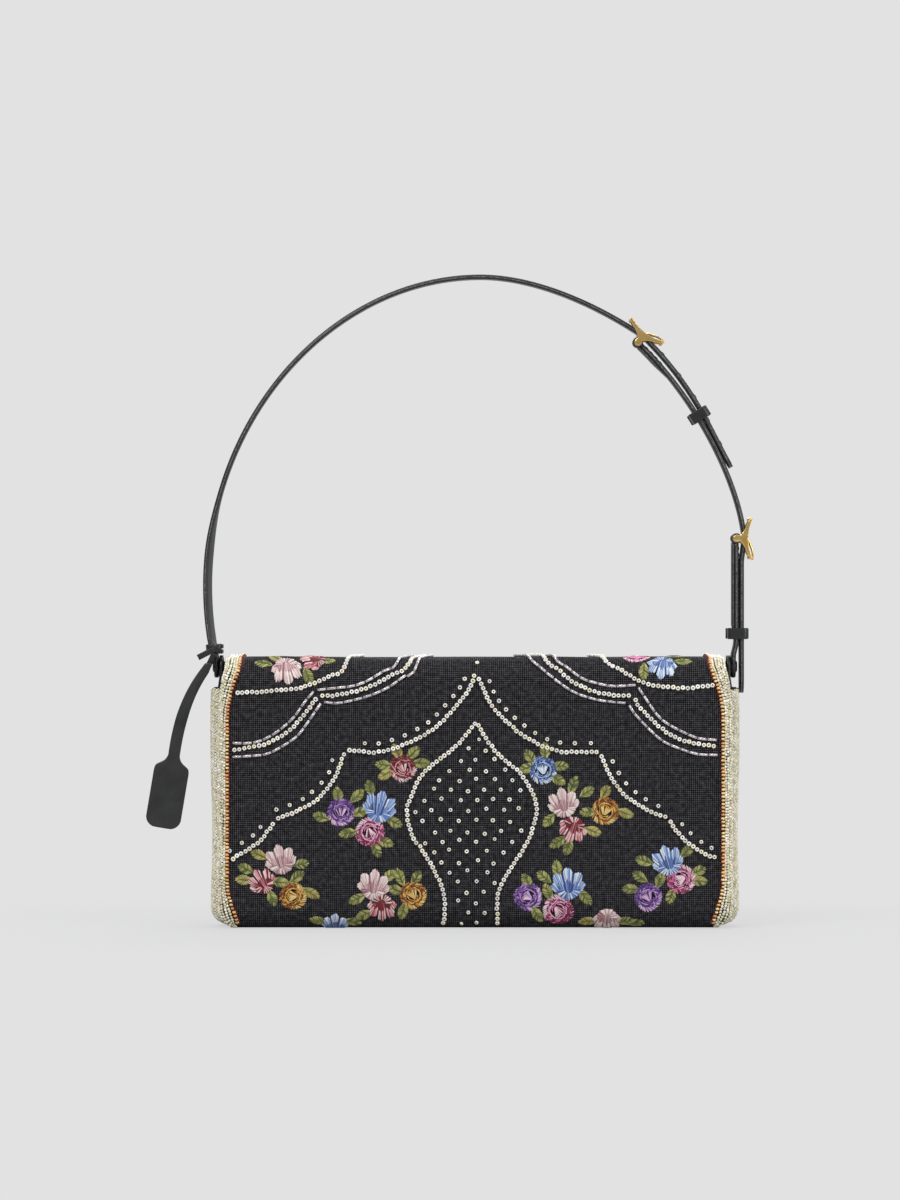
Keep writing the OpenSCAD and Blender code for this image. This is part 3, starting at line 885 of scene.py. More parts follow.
def spun(profile: Sequence[Triple], axis: Triple, steps: int, closed: bool = False,
         rise: float = 0.0) -> Mesh:
    """A profile of points spun about an axis through the origin, then lifted by rise."""
    work = bmesh.new()
    verts = [work.verts.new(point) for point in profile]
    for pair in zip(verts, verts[1:] + (verts[:1] if closed else [])):
        work.edges.new(pair)
    bmesh.ops.spin(work, geom=work.verts[:] + work.edges[:], cent=(0, 0, 0), axis=axis, angle=math.tau,
                   steps=steps, use_merge=True)
    bmesh.ops.translate(work, vec=(0, 0, rise), verts=work.verts)
    bmesh.ops.recalc_face_normals(work, faces=work.faces)
    return work


def ring_bead(radius: float, hole: float, height: float = 0.62) -> Mesh:
    """A seed bead lying flat, with its hole outwards."""
    work = bmesh.new()
    bmesh.ops.create_circle(work, segments=6, radius=1.0)
    for vert in work.verts:
        vert.co = Vector(((radius + hole) / 2 + vert.co.x * (radius - hole) / 2, 0,
                          height + vert.co.y * height))
    bmesh.ops.spin(work, geom=work.verts[:] + work.edges[:], cent=(0, 0, 0), axis=(0, 0, 1),
                   angle=math.tau, steps=9, use_merge=True)
    bmesh.ops.recalc_face_normals(work, faces=work.faces)
    return work


def barrel_bead(radius: float, length: float, steps: int = 8) -> Mesh:
    """A seed bead strung along x, as a barrel without its hidden hole."""
    shape = ((-0.5, 0.35), (-0.36, 0.86), (0.0, 1.0), (0.36, 0.86), (0.5, 0.35))
    return spun([(along * length, high * radius, 0) for along, high in shape], (1, 0, 0), steps,
                rise=radius * 0.7)


def bugle_bead(length: float = 4.7, radius: float = 0.72, hole: float = 0.3) -> Mesh:
    """A bugle bead along x: a straight tube with open ends."""
    shape = ((-0.5, hole), (-0.5, radius), (0.5, radius), (0.5, hole))
    return spun([(along * length, high, 0) for along, high in shape], (1, 0, 0), 12, True, radius)


def floss_strand() -> Mesh:
    """A stitch of floss: x from 0 to 1, a low arch that dives in at both ends."""
    work = bmesh.new()
    bmesh.ops.create_grid(work, x_segments=6, y_segments=2, size=0.5)
    for vert in work.verts:
        share = vert.co.x + 0.5
        side = vert.co.y * 2
        arch = 4 * share * (1 - share)
        full = 0.35 + 0.65 * arch ** 0.35
        vert.co = Vector((share, side * 0.5 * full, arch ** 0.4 * (1 - abs(side)) - 0.15 * abs(side)))
    return work


def stitch_form() -> Mesh:
    """One stitch of waxed thread along x."""
    work = bmesh.new()
    bmesh.ops.create_uvsphere(work, u_segments=8, v_segments=6, radius=1.0)
    for vert in work.verts:
        vert.co = Vector((vert.co.x * 1.15, vert.co.y * 0.3, vert.co.z * 0.3))
    return work


# Embroidery


class Bloom(Enum):
    """How a rose is stitched."""

    BUD = "bud"
    OPEN = "open"


BUD, OPEN = Bloom


@dataclass(frozen=True)
class Dye:
    """The flosses of one rose, from its shadows to its lit edges."""

    deep: Colour
    mid: Colour
    light: Colour
    rim: Colour


CRIMSON = Dye(*hues((92, 8, 24), (140, 18, 40), (232, 150, 160), (244, 222, 218)))
BLUSH = Dye(*hues((158, 108, 116), (214, 176, 180), (238, 214, 210), (248, 238, 230)))
PINK = Dye(*hues((122, 18, 62), (226, 126, 174), (244, 180, 208), (250, 226, 232)))
PURPLE = Dye(*hues((70, 34, 108), (132, 84, 168), (190, 150, 212), (232, 196, 224)))
BLUE = Dye(*hues((50, 72, 134), (108, 140, 204), (172, 198, 236), (232, 241, 248)))
GOLDEN = Dye(*hues((120, 58, 16), (196, 132, 40), (232, 186, 92), (246, 220, 150)))
LEAF_GREENS = hues((98, 106, 58), (134, 140, 72), (166, 168, 92), (196, 192, 116))
LEAF_GOLDS = hues((152, 132, 66), (190, 164, 86))


@dataclass(frozen=True)
class Rose:
    """One rose, placed by the photograph's pixels.

    Args:
        x: Its centre across the photograph.
        y: Its centre down the photograph.
        size: Its radius in mm.
        dye: Its flosses.
        bloom: How it is stitched.
        turn: How far it is turned, in degrees.
    """

    x: float
    y: float
    size: float
    dye: Dye
    bloom: Bloom
    turn: float = 0.0


@dataclass(frozen=True)
class Posy:
    """A bunch of roses with leaves, placed by the photograph's pixels."""

    roses: tuple[Rose, ...]
    leaves: tuple[Pair, ...]


POSIES = (
    Posy((Rose(403, 768, 7.0, CRIMSON, BUD, 20),),
         ((384, 765), (386, 774), (397, 752), (413, 753), (421, 763))),
    Posy((Rose(341, 812, 7.2, PURPLE, BUD, 0), Rose(380, 805, 9.0, BLUE, OPEN, -12),
          Rose(370, 832, 7.6, PINK, BUD, 200)),
         ((321, 817), (338, 795), (357, 796), (370, 788), (394, 822), (348, 833), (376, 849), (385, 842),
          (360, 812))),
    Posy((Rose(280, 858, 8.4, BLUSH, OPEN, 12), Rose(261, 880, 7.4, CRIMSON, OPEN, 30),
          Rose(293, 896, 7.0, GOLDEN, BUD, 90)),
         ((259, 855), (301, 864), (246, 869), (244, 880), (297, 877), (311, 893), (272, 898), (280, 882))),
    Posy((Rose(374, 883, 8.6, BLUSH, OPEN, -6), Rose(413, 895, 7.0, GOLDEN, BUD, 30),
          Rose(382, 909, 7.6, CRIMSON, OPEN, 180)),
         ((389, 876), (400, 877), (416, 878), (357, 899), (403, 911), (364, 915), (396, 890))),
    Posy((Rose(335, 923, 7.0, BLUE, OPEN, 0),), ((318, 921), (352, 922))),
    Posy((Rose(287, 672, 8.2, BLUSH, OPEN, 190), Rose(311, 661, 7.4, CRIMSON, OPEN, 90)),
         ((263, 664), (308, 676), (326, 661), (276, 660))),
    Posy((Rose(543, 770, 7.2, BLUE, BUD, 10),),
         ((530, 757), (545, 751), (560, 766), (557, 779), (527, 768))),
    Posy((Rose(563, 801, 8.4, BLUSH, OPEN, 10), Rose(605, 811, 7.2, GOLDEN, BUD, 340),
          Rose(572, 831, 7.6, CRIMSON, OPEN, 160)),
         ((573, 785), (587, 792), (605, 792), (625, 813), (549, 820), (593, 831), (568, 847), (558, 842),
          (588, 812))),
    Posy((Rose(667, 859, 8.6, BLUE, OPEN, 16), Rose(681, 879, 7.6, PINK, BUD, 120),
          Rose(648, 897, 7.2, PURPLE, BUD, 30)),
         ((644, 861), (687, 851), (640, 877), (631, 889), (698, 871), (699, 881), (671, 896), (660, 880))),
    Posy((Rose(528, 897, 7.2, PURPLE, BUD, 60), Rose(568, 882, 9.0, BLUE, OPEN, 4),
          Rose(558, 910, 7.8, PINK, BUD, 220)),
         ((557, 869), (527, 881), (544, 877), (585, 897), (537, 914), (548, 892))),
    Posy((Rose(607, 922, 7.6, BLUSH, OPEN, 180),), ((588, 921), (625, 921), (636, 923))),
    Posy((Rose(662, 668, 7.8, BLUE, OPEN, 170), Rose(637, 657, 7.0, PINK, BUD, 0)),
         ((644, 671), (683, 662), (676, 657))),
)


@dataclass(frozen=True)
class PhotoScale:
    """How the photograph's pixels measure the flap's front, from the camera's own line of sight.

    Args:
        aim_px: The middle of the picture.
        pitch: Millimetres to a pixel on the front of the flap.
        aim_mm: Where the camera aims, across and up.
    """

    aim_px: Pair = (450.0, 600.0)
    pitch: float = 0.527
    aim_mm: Pair = (-13.25, 173.3)

    def spot(self, form: FlapForm, x: float, y: float) -> Pair:
        """Across and down the flap for a pixel."""
        across = self.aim_mm[0] + (x - self.aim_px[0]) * self.pitch
        height = self.aim_mm[1] - (y - self.aim_px[1]) * self.pitch
        return (across, float(form.down_at(min(height, form.top_h - 0.02))))


def turned(point: Sequence[float], angle: float) -> Rows:
    """A point turned about the origin."""
    cos, sin = math.cos(angle), math.sin(angle)
    return np.array(point) @ np.array(((cos, sin), (-sin, cos)))


def aimed(size: float, angle: float) -> Rows:
    """The point at a distance from the origin and an angle in radians."""
    return size * np.array((math.cos(angle), math.sin(angle)))


class Needle:
    """Stitches roses and leaves onto a skin.

    Args:
        skin: The cloth.
        flip: -1 where the cloth's down runs up the object, as on its back.
    """

    width = 0.62
    height = 0.42
    swell = 1.1

    def __init__(self, skin: Skin, flip: float = 1.0) -> None:
        self.skin = skin
        self.flip = flip
        self.stamp = Stamp(floss_strand())
        self.dice = np.random.default_rng(SEED)

    def stitch(self, at: Pair, first: Sequence[float], last: Sequence[float], tint: Colour, lift: float = 0.0,
               bow: float = 0.0, size: float = 1.0) -> None:
        """Lays one stitch, given in the motif's own x and y, with y up."""
        shade = 1 + self.dice.normal(0, 0.09)
        tint = tuple(float(np.clip(level * shade, 0, 1)) for level in tint)
        start, end = ((at[0] + x, at[1] - y * self.flip) for x, y in (first, last))
        self.stamp.strand(self.skin, start, end, self.width * size, self.height * size, tint, lift, bow)

    def pick(self, tints: Sequence[Colour], weights: Sequence[float]) -> Colour:
        """Picks one of several colours."""
        return tints[int(self.dice.choice(len(tints), p=np.array(weights) / sum(weights)))]

    def bud(self, at: Pair, rose: Rose) -> None:
        """A round bud: a ragged rim, wrapped dark petals and a lit heart."""
        dye, size, lean = rose.dye, rose.size, math.radians(rose.turn)
        count = int(size * 9.0)
        for i in range(count):
            angle = math.tau * i / count + self.dice.normal(0, 0.04)
            scallop = 1 - 0.07 * abs(math.sin(1.5 * (angle - lean)))
            far = size * (scallop + self.dice.uniform(-0.03, 0.03))
            near = size * self.dice.uniform(0.5, 0.62)
            lit = math.cos(angle - lean + math.pi / 2) > 0.1
            tint = self.pick((dye.rim, dye.light, dye.mid), (5, 3, 2)) if lit else self.pick(
                (dye.mid, dye.deep, dye.light), (5, 4, 1))
            self.stitch(at, aimed(near, angle - 0.5), aimed(far, angle), tint)
        rings = ((0.86, -20.0, 210, dye.deep, dye.mid), (0.68, 0.0, 360, dye.deep, dye.mid),
                 (0.54, 190.0, 330, dye.light, dye.mid), (0.4, 20.0, 300, dye.mid, dye.light))
        for level, (share, start, sweep, most, few) in enumerate(rings):
            steps = max(6, int(size * share * 5.2 * sweep / 360))
            for i in range(steps):
                angle = lean + math.radians(start + sweep * i / steps)
                radius = size * (share + self.dice.normal(0, 0.025))
                ahead = angle + (0.62 + 0.2 * self.dice.random()) * min(1.0, 2.6 / radius)
                tint = self.pick((most, few, dye.light), (6, 2, 1))
                self.stitch(at, aimed(radius, angle), aimed(radius * 0.86, ahead), tint, 0.3 + 0.12 * level,
                            0.15)
        for i in range(-4, 5):
            tip = turned((size * 0.36 * math.sin(i * 0.16 * 2.2), size * (0.32 - 0.02 * abs(i))), lean)
            root = turned((0.06 * size * i * 0.3, -size * 0.26), lean)
            self.stitch(at, root, tip, self.pick((dye.rim, dye.light, dye.deep), (5, 3, 2)), 0.85)

    def fan(self, at: Pair, rose: Rose) -> None:
        """An open rose: petals that fan up from a narrow base, pale at their edges."""
        dye, size, lean = rose.dye, rose.size, math.radians(rose.turn)
        petals = ((-74.0, 0.92, 25.0), (74.0, 0.92, 25.0), (-40.0, 1.1, 21.0), (41.0, 1.08, 21.0),
                  (0.0, 1.16, 20.0))
        for level, (way, share, spread) in enumerate(petals):
            count = int(size * 2.2)
            for i in range(count):
                slip = (i + 0.5) / count * 2 - 1
                angle = math.radians(way + slip * spread)
                long = size * share * (1 - 0.3 * abs(slip) ** 1.6) * (1 + self.dice.normal(0, 0.03))
                base = np.array((size * 0.3 * math.sin(math.radians(way)) + slip * 0.8, -size * 0.5))
                tip = np.array((long * math.sin(angle), -size * 0.14 + long * math.cos(angle)))
                middle = base + (tip - base) * self.dice.uniform(0.5, 0.66)
                start = base + (tip - base) * self.dice.uniform(0.0, 0.2)
                if abs(slip) > 0.78:
                    low = high = self.pick((dye.deep, dye.mid), (4, 1))
                else:
                    low = self.pick((dye.deep, dye.mid, dye.light), (4, 4, 2))
                    high = self.pick((dye.rim, dye.light, dye.mid),
                                     (6, 3, 1) if abs(slip) > 0.4 else (3, 4, 3))
                root, knee, end = (turned(point, lean) for point in (start, middle, tip))
                self.stitch(at, root, knee, low, 0.12 * level)
                self.stitch(at, knee, end, high, 0.12 * level + 0.06)
        count = int(size * 3.4)
        for i in range(count):
            slip = (i + 0.5) / count * 2 - 1
            angle = math.radians(180 + slip * 78)
            far = size * (0.78 - 0.1 * slip * slip + self.dice.uniform(-0.04, 0.04))
            tip = turned((far * math.sin(angle), far * math.cos(angle) * 0.9), lean)
            root = turned((far * 0.34 * math.sin(angle), -size * 0.1 + far * 0.3 * math.cos(angle)), lean)
            weights = (1, 3, 5) if i % 5 == 0 else (4, 4, 1)
            self.stitch(at, root, tip, self.pick((dye.rim, dye.mid, dye.deep), weights), 0.62)

    def leaf(self, at: Pair, heading: float, long: float, wide: float) -> None:
        """A pointed leaf: slanted stitches each side of a vein."""
        golden = self.dice.random() < 0.18
        tones = LEAF_GOLDS + LEAF_GREENS[2:] if golden else LEAF_GREENS
        count = max(7, int(long * 1.75))
        for side in (-1, 1):
            for i in range(count):
                share = (i + 0.4) / count
                half = wide / 2 * math.sin(math.pi * min(1.0, share * 0.93 + 0.07)) ** 0.75
                root = (long * (share - 0.62), 0.0)
                tip = (long * (share - 0.5) + 0.9, side * (half + self.dice.normal(0, 0.12)))
                self.stitch(at, turned(root, heading), turned(tip, heading),
                            self.pick(tones, [1] * len(tones)), 0.0, 0.0, 0.92)
        vein = (turned((along, 0.0), heading) for along in (-long * 0.55, long * 0.4))
        self.stitch(at, *vein, LEAF_GREENS[0], 0.34, 0.2, 0.8)

    def posy(self, posy: Posy, spot: Callable[[float, float], Pair]) -> None:
        """Stitches the leaves, then the roses over them."""
        middle = np.mean([(rose.x, rose.y) for rose in posy.roses], axis=0)
        for x, y in posy.leaves:
            near = min(posy.roses, key=lambda rose: (rose.x - x) ** 2 + (rose.y - y) ** 2)
            away = np.array((x - near.x, near.y - y)) * 0.7 + np.array((x - middle[0], middle[1] - y)) * 0.3
            heading = math.atan2(away[1], away[0]) + self.dice.normal(0, 0.2)
            self.leaf(spot(x, y), heading, 8.6 + self.dice.normal(0, 0.6), 5.6)
        for rose in posy.roses:
            at = spot(rose.x, rose.y)
            rose = replace(rose, size=rose.size * self.swell)
            if rose.bloom is BUD:
                self.bud(at, rose)
                continue
            down = turned((0.0, -0.24 * rose.size), math.radians(rose.turn))
            self.fan((at[0] + down[0], at[1] - down[1] * self.flip), rose)


# Bead lines


@dataclass(frozen=True)
class BeadLine:
    """A line of beads through the photograph's pixels.

    Args:
        points: Its points.
        bugle: Whether it is of bugle beads.
        over: Whether it runs on past its last point, over the flap's top to its hinge.
    """

    points: tuple[Pair, ...]
    bugle: bool = False
    over: bool = False


OGEE_LEFT = ((476.5, 722), (459, 743), (436, 762), (421, 776), (410, 799), (407, 808), (408, 822),
                               (412, 835), (422, 850), (434, 870), (442, 887), (445, 904), (443, 924))
OGEE_RIGHT = ((477.5, 723), (491, 746), (505, 760), (520, 773), (531, 790), (536.5, 807),
                                (534, 824), (527, 842), (514, 863), (503, 881), (497.5, 898), (497.5, 924))
FESTOON = (
    BeadLine(((475, 674), (470, 688), (457, 705), (436, 727), (410, 742), (379, 752), (347, 750))),
    BeadLine(((345, 752), (342, 759), (337, 774), (327, 789), (314, 802), (295, 812), (276, 819))),
    BeadLine(((274, 822), (270, 828), (260, 841), (245, 851), (231, 860))),
    BeadLine(((478, 677), (490, 703), (505, 720), (520, 733), (540, 745), (561, 751), (599, 752))),
    BeadLine(((601, 754), (607, 770), (620, 790), (635, 803), (652, 812), (667, 818))),
    BeadLine(((669, 820), (676, 831), (691, 845), (707, 855), (717, 857))),
)
BANDS = (
    BeadLine(((232, 750), (262, 745), (280, 737), (295, 725), (307, 711), (317, 697))),
    BeadLine(((320, 696), (335, 695), (352, 692), (371, 686), (390, 676), (408, 665)), over=True),
    BeadLine(((716, 746), (698, 744), (678, 739), (661, 728), (648, 716), (638, 705), (634, 698))),
    BeadLine(((631, 696), (605, 694), (587, 689), (570, 680), (557, 670), (546, 662)), over=True),
    BeadLine(((232, 743), (248, 743), (262, 740), (278, 731), (293, 718), (304, 703), (314, 691)), True),
    BeadLine(((317, 690), (335, 688), (352, 686), (367, 681), (383, 672), (396, 664)), True, True),
    BeadLine(((232, 757), (249, 756), (266, 754), (281, 747), (297, 736), (308, 722), (321, 703)), True),
    BeadLine(((324, 702), (337, 703), (354, 700), (371, 695), (387, 688), (402, 678), (415, 669)), True,
             True),
    BeadLine(((717, 740), (698, 738), (681, 731), (665, 722), (655, 712), (644, 696), (638, 687)), True),
    BeadLine(((636, 685), (613, 686), (596, 683), (581, 678), (566, 668), (556, 661)), True, True),
    BeadLine(((718, 755), (698, 754), (681, 749), (663, 741), (648, 728), (635, 714), (629, 705)), True),
    BeadLine(((626, 703), (613, 702), (594, 699), (574, 692), (557, 681), (542, 670), (530, 660)), True,
             True),
    BeadLine(((235, 693), (256, 692), (276, 690), (299, 688), (314, 683), (329, 677), (344, 669)), over=True),
    BeadLine(((715, 685), (687, 688), (668, 687), (648, 684), (635, 679), (620, 670), (606, 662)), over=True),
)
LINE_TINTS = hues((244, 240, 230), (234, 229, 212), (226, 224, 218), (238, 233, 206), (236, 226, 221),
                  (246, 244, 238))
IVORY_TINTS = hues((232, 226, 202), (218, 213, 180), (244, 240, 228), (202, 196, 160), (224, 210, 188))
AMBER_TINTS = hues((240, 184, 118), (224, 150, 88), (246, 208, 146), (230, 178, 98))
BUGLE_TINTS = hues((232, 224, 228), (244, 234, 238), (214, 208, 214))
MAROON = linear(92, 18, 26)


def smooth_walk(points: Rows, pitch: float) -> tuple[Rows, Rows]:
    """Even steps along a smooth curve through points.

    Args:
        points: The points, one row each.
        pitch: The length of a step.

    Returns:
        The places of the steps and the heading at each, in radians.
    """
    ends = np.vstack((2 * points[0] - points[1], points, 2 * points[-1] - points[-2]))
    fine = []
    for p0, p1, p2, p3 in zip(ends, ends[1:], ends[2:], ends[3:]):
        for t in np.arange(0, 1, 0.04):
            fine.append(0.5 * (2 * p1 + (p2 - p0) * t + (2 * p0 - 5 * p1 + 4 * p2 - p3) * t * t
                               + (3 * p1 - p0 - 3 * p2 + p3) * t ** 3))
    track = np.vstack((fine, points[-1:]))
    run = lengths(track)
    steps = max(1, round(run[-1] / pitch))
    marks = (np.arange(steps) + 0.5) * run[-1] / steps
    spots, before, after = (np.stack([np.interp(marks + shift, run, side) for side in track.T], axis=1)
                            for shift in (0.0, -0.4, 0.4))
    way = after - before
    return spots, np.arctan2(way[:, 1], way[:, 0])


def tinted(dice: np.random.Generator, tints: Sequence[Colour], count: int, spread: float) -> list[Colour]:
    """Colours for a run of beads, each a little lighter or darker."""
    picks = dice.integers(0, len(tints), count)
    shades = dice.normal(1.0, spread, count)
    return [tuple(float(np.clip(level * shade, 0, 1)) for level in tints[pick])
            for pick, shade in zip(picks, shades)]


def painted_dark_crest(points: Rows) -> Rows:
    """How light each point of a bugle bead is: a painted dark reflection in a line along its crest."""
    return np.where(points[:, 2] > 1.42, 0.3, 1.0)


class Ornament:
    """The beads sewn on one skin.

    Args:
        skin: The cloth.
        spot: Turns a pixel into across and down.
    """

    pitch = 2.6
    bugle_pitch = 5.2
    hem = 5.0

    def __init__(self, skin: Skin, spot: Callable[[float, float], Pair]) -> None:
        self.skin = skin
        self.spot = spot
        self.rings = Stamp(ring_bead(1.12, 0.32))
        self.dots = Stamp(ring_bead(1.2, 0.4, 0.6))
        # The bugles carry a painted dark reflection along their crests.
        self.bugles = Stamp(bugle_bead(), painted_dark_crest)
        self.dice = np.random.default_rng(SEED + 1)

    def tints(self, choice: Sequence[Colour], count: int) -> list[Colour]:
        """Colours for a run of beads."""
        return tinted(self.dice, choice, count, 0.07)

    def track(self, line: BeadLine) -> Rows:
        """The line's points on the skin, run on over the top where it does."""
        points = np.array([self.spot(x, y) for x, y in line.points])
        if line.over:
            way = np.array((math.copysign(0.2, points[-1][0] - points[0][0]), -0.98))
            way *= points[-1][1] - self.hem
            points = np.vstack((points, points[-1] + way * 0.5, points[-1] + way))
        return points

    def line(self, line: BeadLine) -> None:
        """Sews one line."""
        spots, headings = smooth_walk(self.track(line), self.bugle_pitch if line.bugle else self.pitch)
        count = len(spots)
        if line.bugle:
            sizes = 1 + self.dice.normal(0, 0.02, count)
            self.bugles.beads(self.skin, spots, headings, sizes, self.tints(BUGLE_TINTS, count))
            return
        sizes = 1.14 + self.dice.normal(0, 0.04, count)
        leans = self.dice.normal(0, 0.16, count)
        self.rings.beads(self.skin, spots + self.dice.normal(0, 0.07, spots.shape), headings, sizes,
                         self.tints(LINE_TINTS, count), 0.05, leans)

    def dot_run(self, points: Sequence[Pair], offset: float, pitches: Pair) -> None:
        """Sews single beads beside a line, offset mm to the left of its way, ever wider apart."""
        fine = 0.25
        spots, headings = smooth_walk(np.array([self.spot(x, y) for x, y in points]), fine)
        marks, run = [], 0.8 * pitches[0] / fine
        while run < len(spots):
            marks.append(int(run))
            run += (pitches[0] + (pitches[1] - pitches[0]) * run / len(spots)) / fine
        beside = np.stack((np.sin(headings), -np.cos(headings)), axis=1)[marks]
        self.single(spots[marks] + beside * offset)

    def festoon(self) -> None:
        """Sews the festoon's lines and the dots above them."""
        for index, line in enumerate(FESTOON):
            self.line(line)
            apart = (5.8, 9.2) if index % 3 == 0 else (7.4, 7.9)
            self.dot_run(line.points, -4.5 if index < 3 else 4.5, apart)

    def single(self, spots: Rows) -> None:
        """Sews single beads."""
        count = len(spots)
        self.dots.beads(self.skin, spots + self.dice.normal(0, 0.12, spots.shape),
                        self.dice.uniform(0, math.tau, count), 0.98 + self.dice.normal(0, 0.05, count),
                        self.tints(LINE_TINTS[:3], count), 0.05, self.dice.normal(0, 0.22, count))

    def ogee(self) -> None:
        """Sews the ogee's outline and its field of dots."""
        for side in (OGEE_LEFT, OGEE_RIGHT):
            self.line(BeadLine(side))
        left, right = np.array(OGEE_LEFT).T, np.array(OGEE_RIGHT).T
        margin, wide, tall, middle = 8.5, 17.4, 10.2, 476.8
        field_of_dots = []
        for row, y in enumerate(np.arange(739.0, 925.0, tall)):
            low, high = np.interp(y, left[1], left[0]), np.interp(y, right[1], right[0])
            for column in range(-5, 6):
                x = middle + wide * (column + 0.5 * (row % 2))
                if low + margin < x < high - margin:
                    field_of_dots.append(self.spot(*(np.array((x, y)) + self.dice.normal(0, 1.1, 2))))
        self.single(np.array(field_of_dots))

    def make(self, finishes: Finishes, prefix: str, place: Body) -> None:
        """Makes the pieces."""
        for stamp, name, finish in ((self.rings, "bead_lines", finishes.ivory),
                                    (self.dots, "bead_dots", finishes.ivory),
                                    (self.bugles, "bugle_lines", finishes.silver)):
            if stamp.tints:
                settle(stamp.publish(f"{prefix}_{name}", finish), place, Slot.BEADWORK)


# The bag's sub-assemblies


# The heading of a line of beads that runs down a skin.
DOWNWARD = math.pi / 2


def corners(node: str) -> tuple[Rows, Rows]:
    """A CAD node's lowest and highest corner in mm."""
    low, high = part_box(node)
    return np.array(low) / MM, np.array(high) / MM


def bead_columns(stamp: Stamp, skin: Skin, across: Union[float, Rows], down: Rows, tints: Sequence[Colour],
                 dice: np.random.Generator) -> None:
    """Presses a column of barrels in a close line down a skin, each a little out of true."""
    count = len(down)
    colours = tinted(dice, tints, count, 0.1)
    spots = np.stack((np.broadcast_to(across, (count,)), down), axis=1) + dice.normal(0, 0.09, (count, 2))
    stamp.beads(skin, spots, DOWNWARD + dice.normal(0, 0.07, count), 1.0 + dice.normal(0, 0.05, count),
                colours, -0.15)


@dataclass
class Flap:
    """The full front flap: canvas, lining, beaded side borders and its ornament."""

    finishes: Finishes
    form: FlapForm
    scale: PhotoScale = PhotoScale()
    columns: int = 5
    row_pitch: float = 1.5
    amber_pitch: float = 1.9
    start_down: float = 6.0
    canvas_t: float = 1.5
    lining_t: float = 1.0
    lining_share: float = 0.985

    def spot(self, x: float, y: float) -> Pair:
        """Across and down the flap for a pixel of the photograph."""
        return self.scale.spot(self.form, x, y)

    def cloth(self) -> None:
        """The canvas and the lining that backs it."""
        form = self.form
        canvas = publish("flap_canvas", sheet_over(form, (-1.0, 1.0), (0.0, form.length), (150, 96),
                                                   edge=form.edge), self.finishes.canvas)
        thicken(canvas, self.canvas_t)
        settle(canvas, Body.FLAP, Slot.CANVAS, "flap_shell", "left_border", "right_border")
        wide = 2 * float(np.mean(form.edge(np.linspace(0.0, form.length, 60))))
        stretch(canvas, wide, form.length, "flap_lining_cloth")
        share = self.lining_share
        inner = publish("flap_lining_cloth", sheet_over(form, (-share, share), (1.0, form.length - 1.2),
                                                        (110, 80), -self.canvas_t - 0.05, form.edge),
                        self.finishes.lining)
        thicken(inner, self.lining_t)
        settle(inner, Body.FLAP, Slot.LINING, "flap_lining")
        stretch(inner, wide * share, form.length - 2.2, "flap_canvas")

    def borders(self) -> None:
        """The ivory bead borders, the amber line at each seam and its maroon stitches."""
        form = self.form
        dice = np.random.default_rng(SEED + 2)
        floss = Stamp(floss_strand())
        rows = np.arange(self.start_down, form.length - 0.8, self.row_pitch)
        seam, edge = form.seam(rows) + 1.3, form.edge(rows) - 0.7
        for side, name in ((-1, "left"), (1, "right")):
            ivory = Stamp(barrel_bead(0.78, 1.42))
            for column in range(self.columns):
                share = (column + 0.75) / self.columns
                down = rows + self.row_pitch * dice.uniform(0, 1) + 0.25 * np.sin(rows / 5.3 + column)
                across = side * (seam + (edge - seam) * share) + 0.16 * np.sin(rows / 9.1 + 2 * column)
                bead_columns(ivory, form, across, np.minimum(down, form.length - 0.7), IVORY_TINTS, dice)
            settle(ivory.publish(f"{name}_border_beads", self.finishes.ivory), Body.FLAP, Slot.BEADWORK)
            amber = Stamp(barrel_bead(1.05, 1.3))
            marks = rows[0] + np.arange(int((rows[-1] - rows[0]) / self.amber_pitch)) * self.amber_pitch
            sew_at = form.seam(marks)
            bead_columns(amber, form, side * (sew_at + 0.9), marks, AMBER_TINTS, dice)
            settle(amber.publish(f"{name}_amber_beads", self.finishes.amber), Body.FLAP, Slot.BEADWORK)
            for down, place in zip(marks, sew_at):
                floss.strand(form, (side * (place - 1.1), down + 0.7), (side * (place + 1.7), down + 1.15),
                             0.7, 1.5, MAROON)
        settle(floss.publish("border_stitches", self.finishes.floss), Body.FLAP, Slot.BEADWORK)

    def ornament(self) -> None:
        """The bead lines and the posies."""
        beads = Ornament(self.form, self.spot)
        beads.ogee()
        beads.festoon()
        for line in BANDS:
            beads.line(line)
        beads.single(np.array([self.spot(477.5, 663.5)]))
        beads.make(self.finishes, "flap", Body.FLAP)
        needle = Needle(self.form)
        for posy in POSIES:
            needle.posy(posy, self.spot)
        settle(needle.stamp.publish("flap_posies", self.finishes.floss), Body.FLAP, Slot.CANVAS)

    def build(self) -> None:
        """Builds the flap. The magnetic studs keep their solids and take a polished finish."""
        self.cloth()
        self.borders()
        self.ornament()
        dress_nodes(self.finishes.gold, "snap_studs")


def dress_nodes(finish: Material, *names: str) -> None:
    """Gives CAD nodes whose shape is right a better finish."""
    for name in names:
        node = bpy.data.objects[name]
        node.data.materials.clear()
        node.data.materials.append(finish)


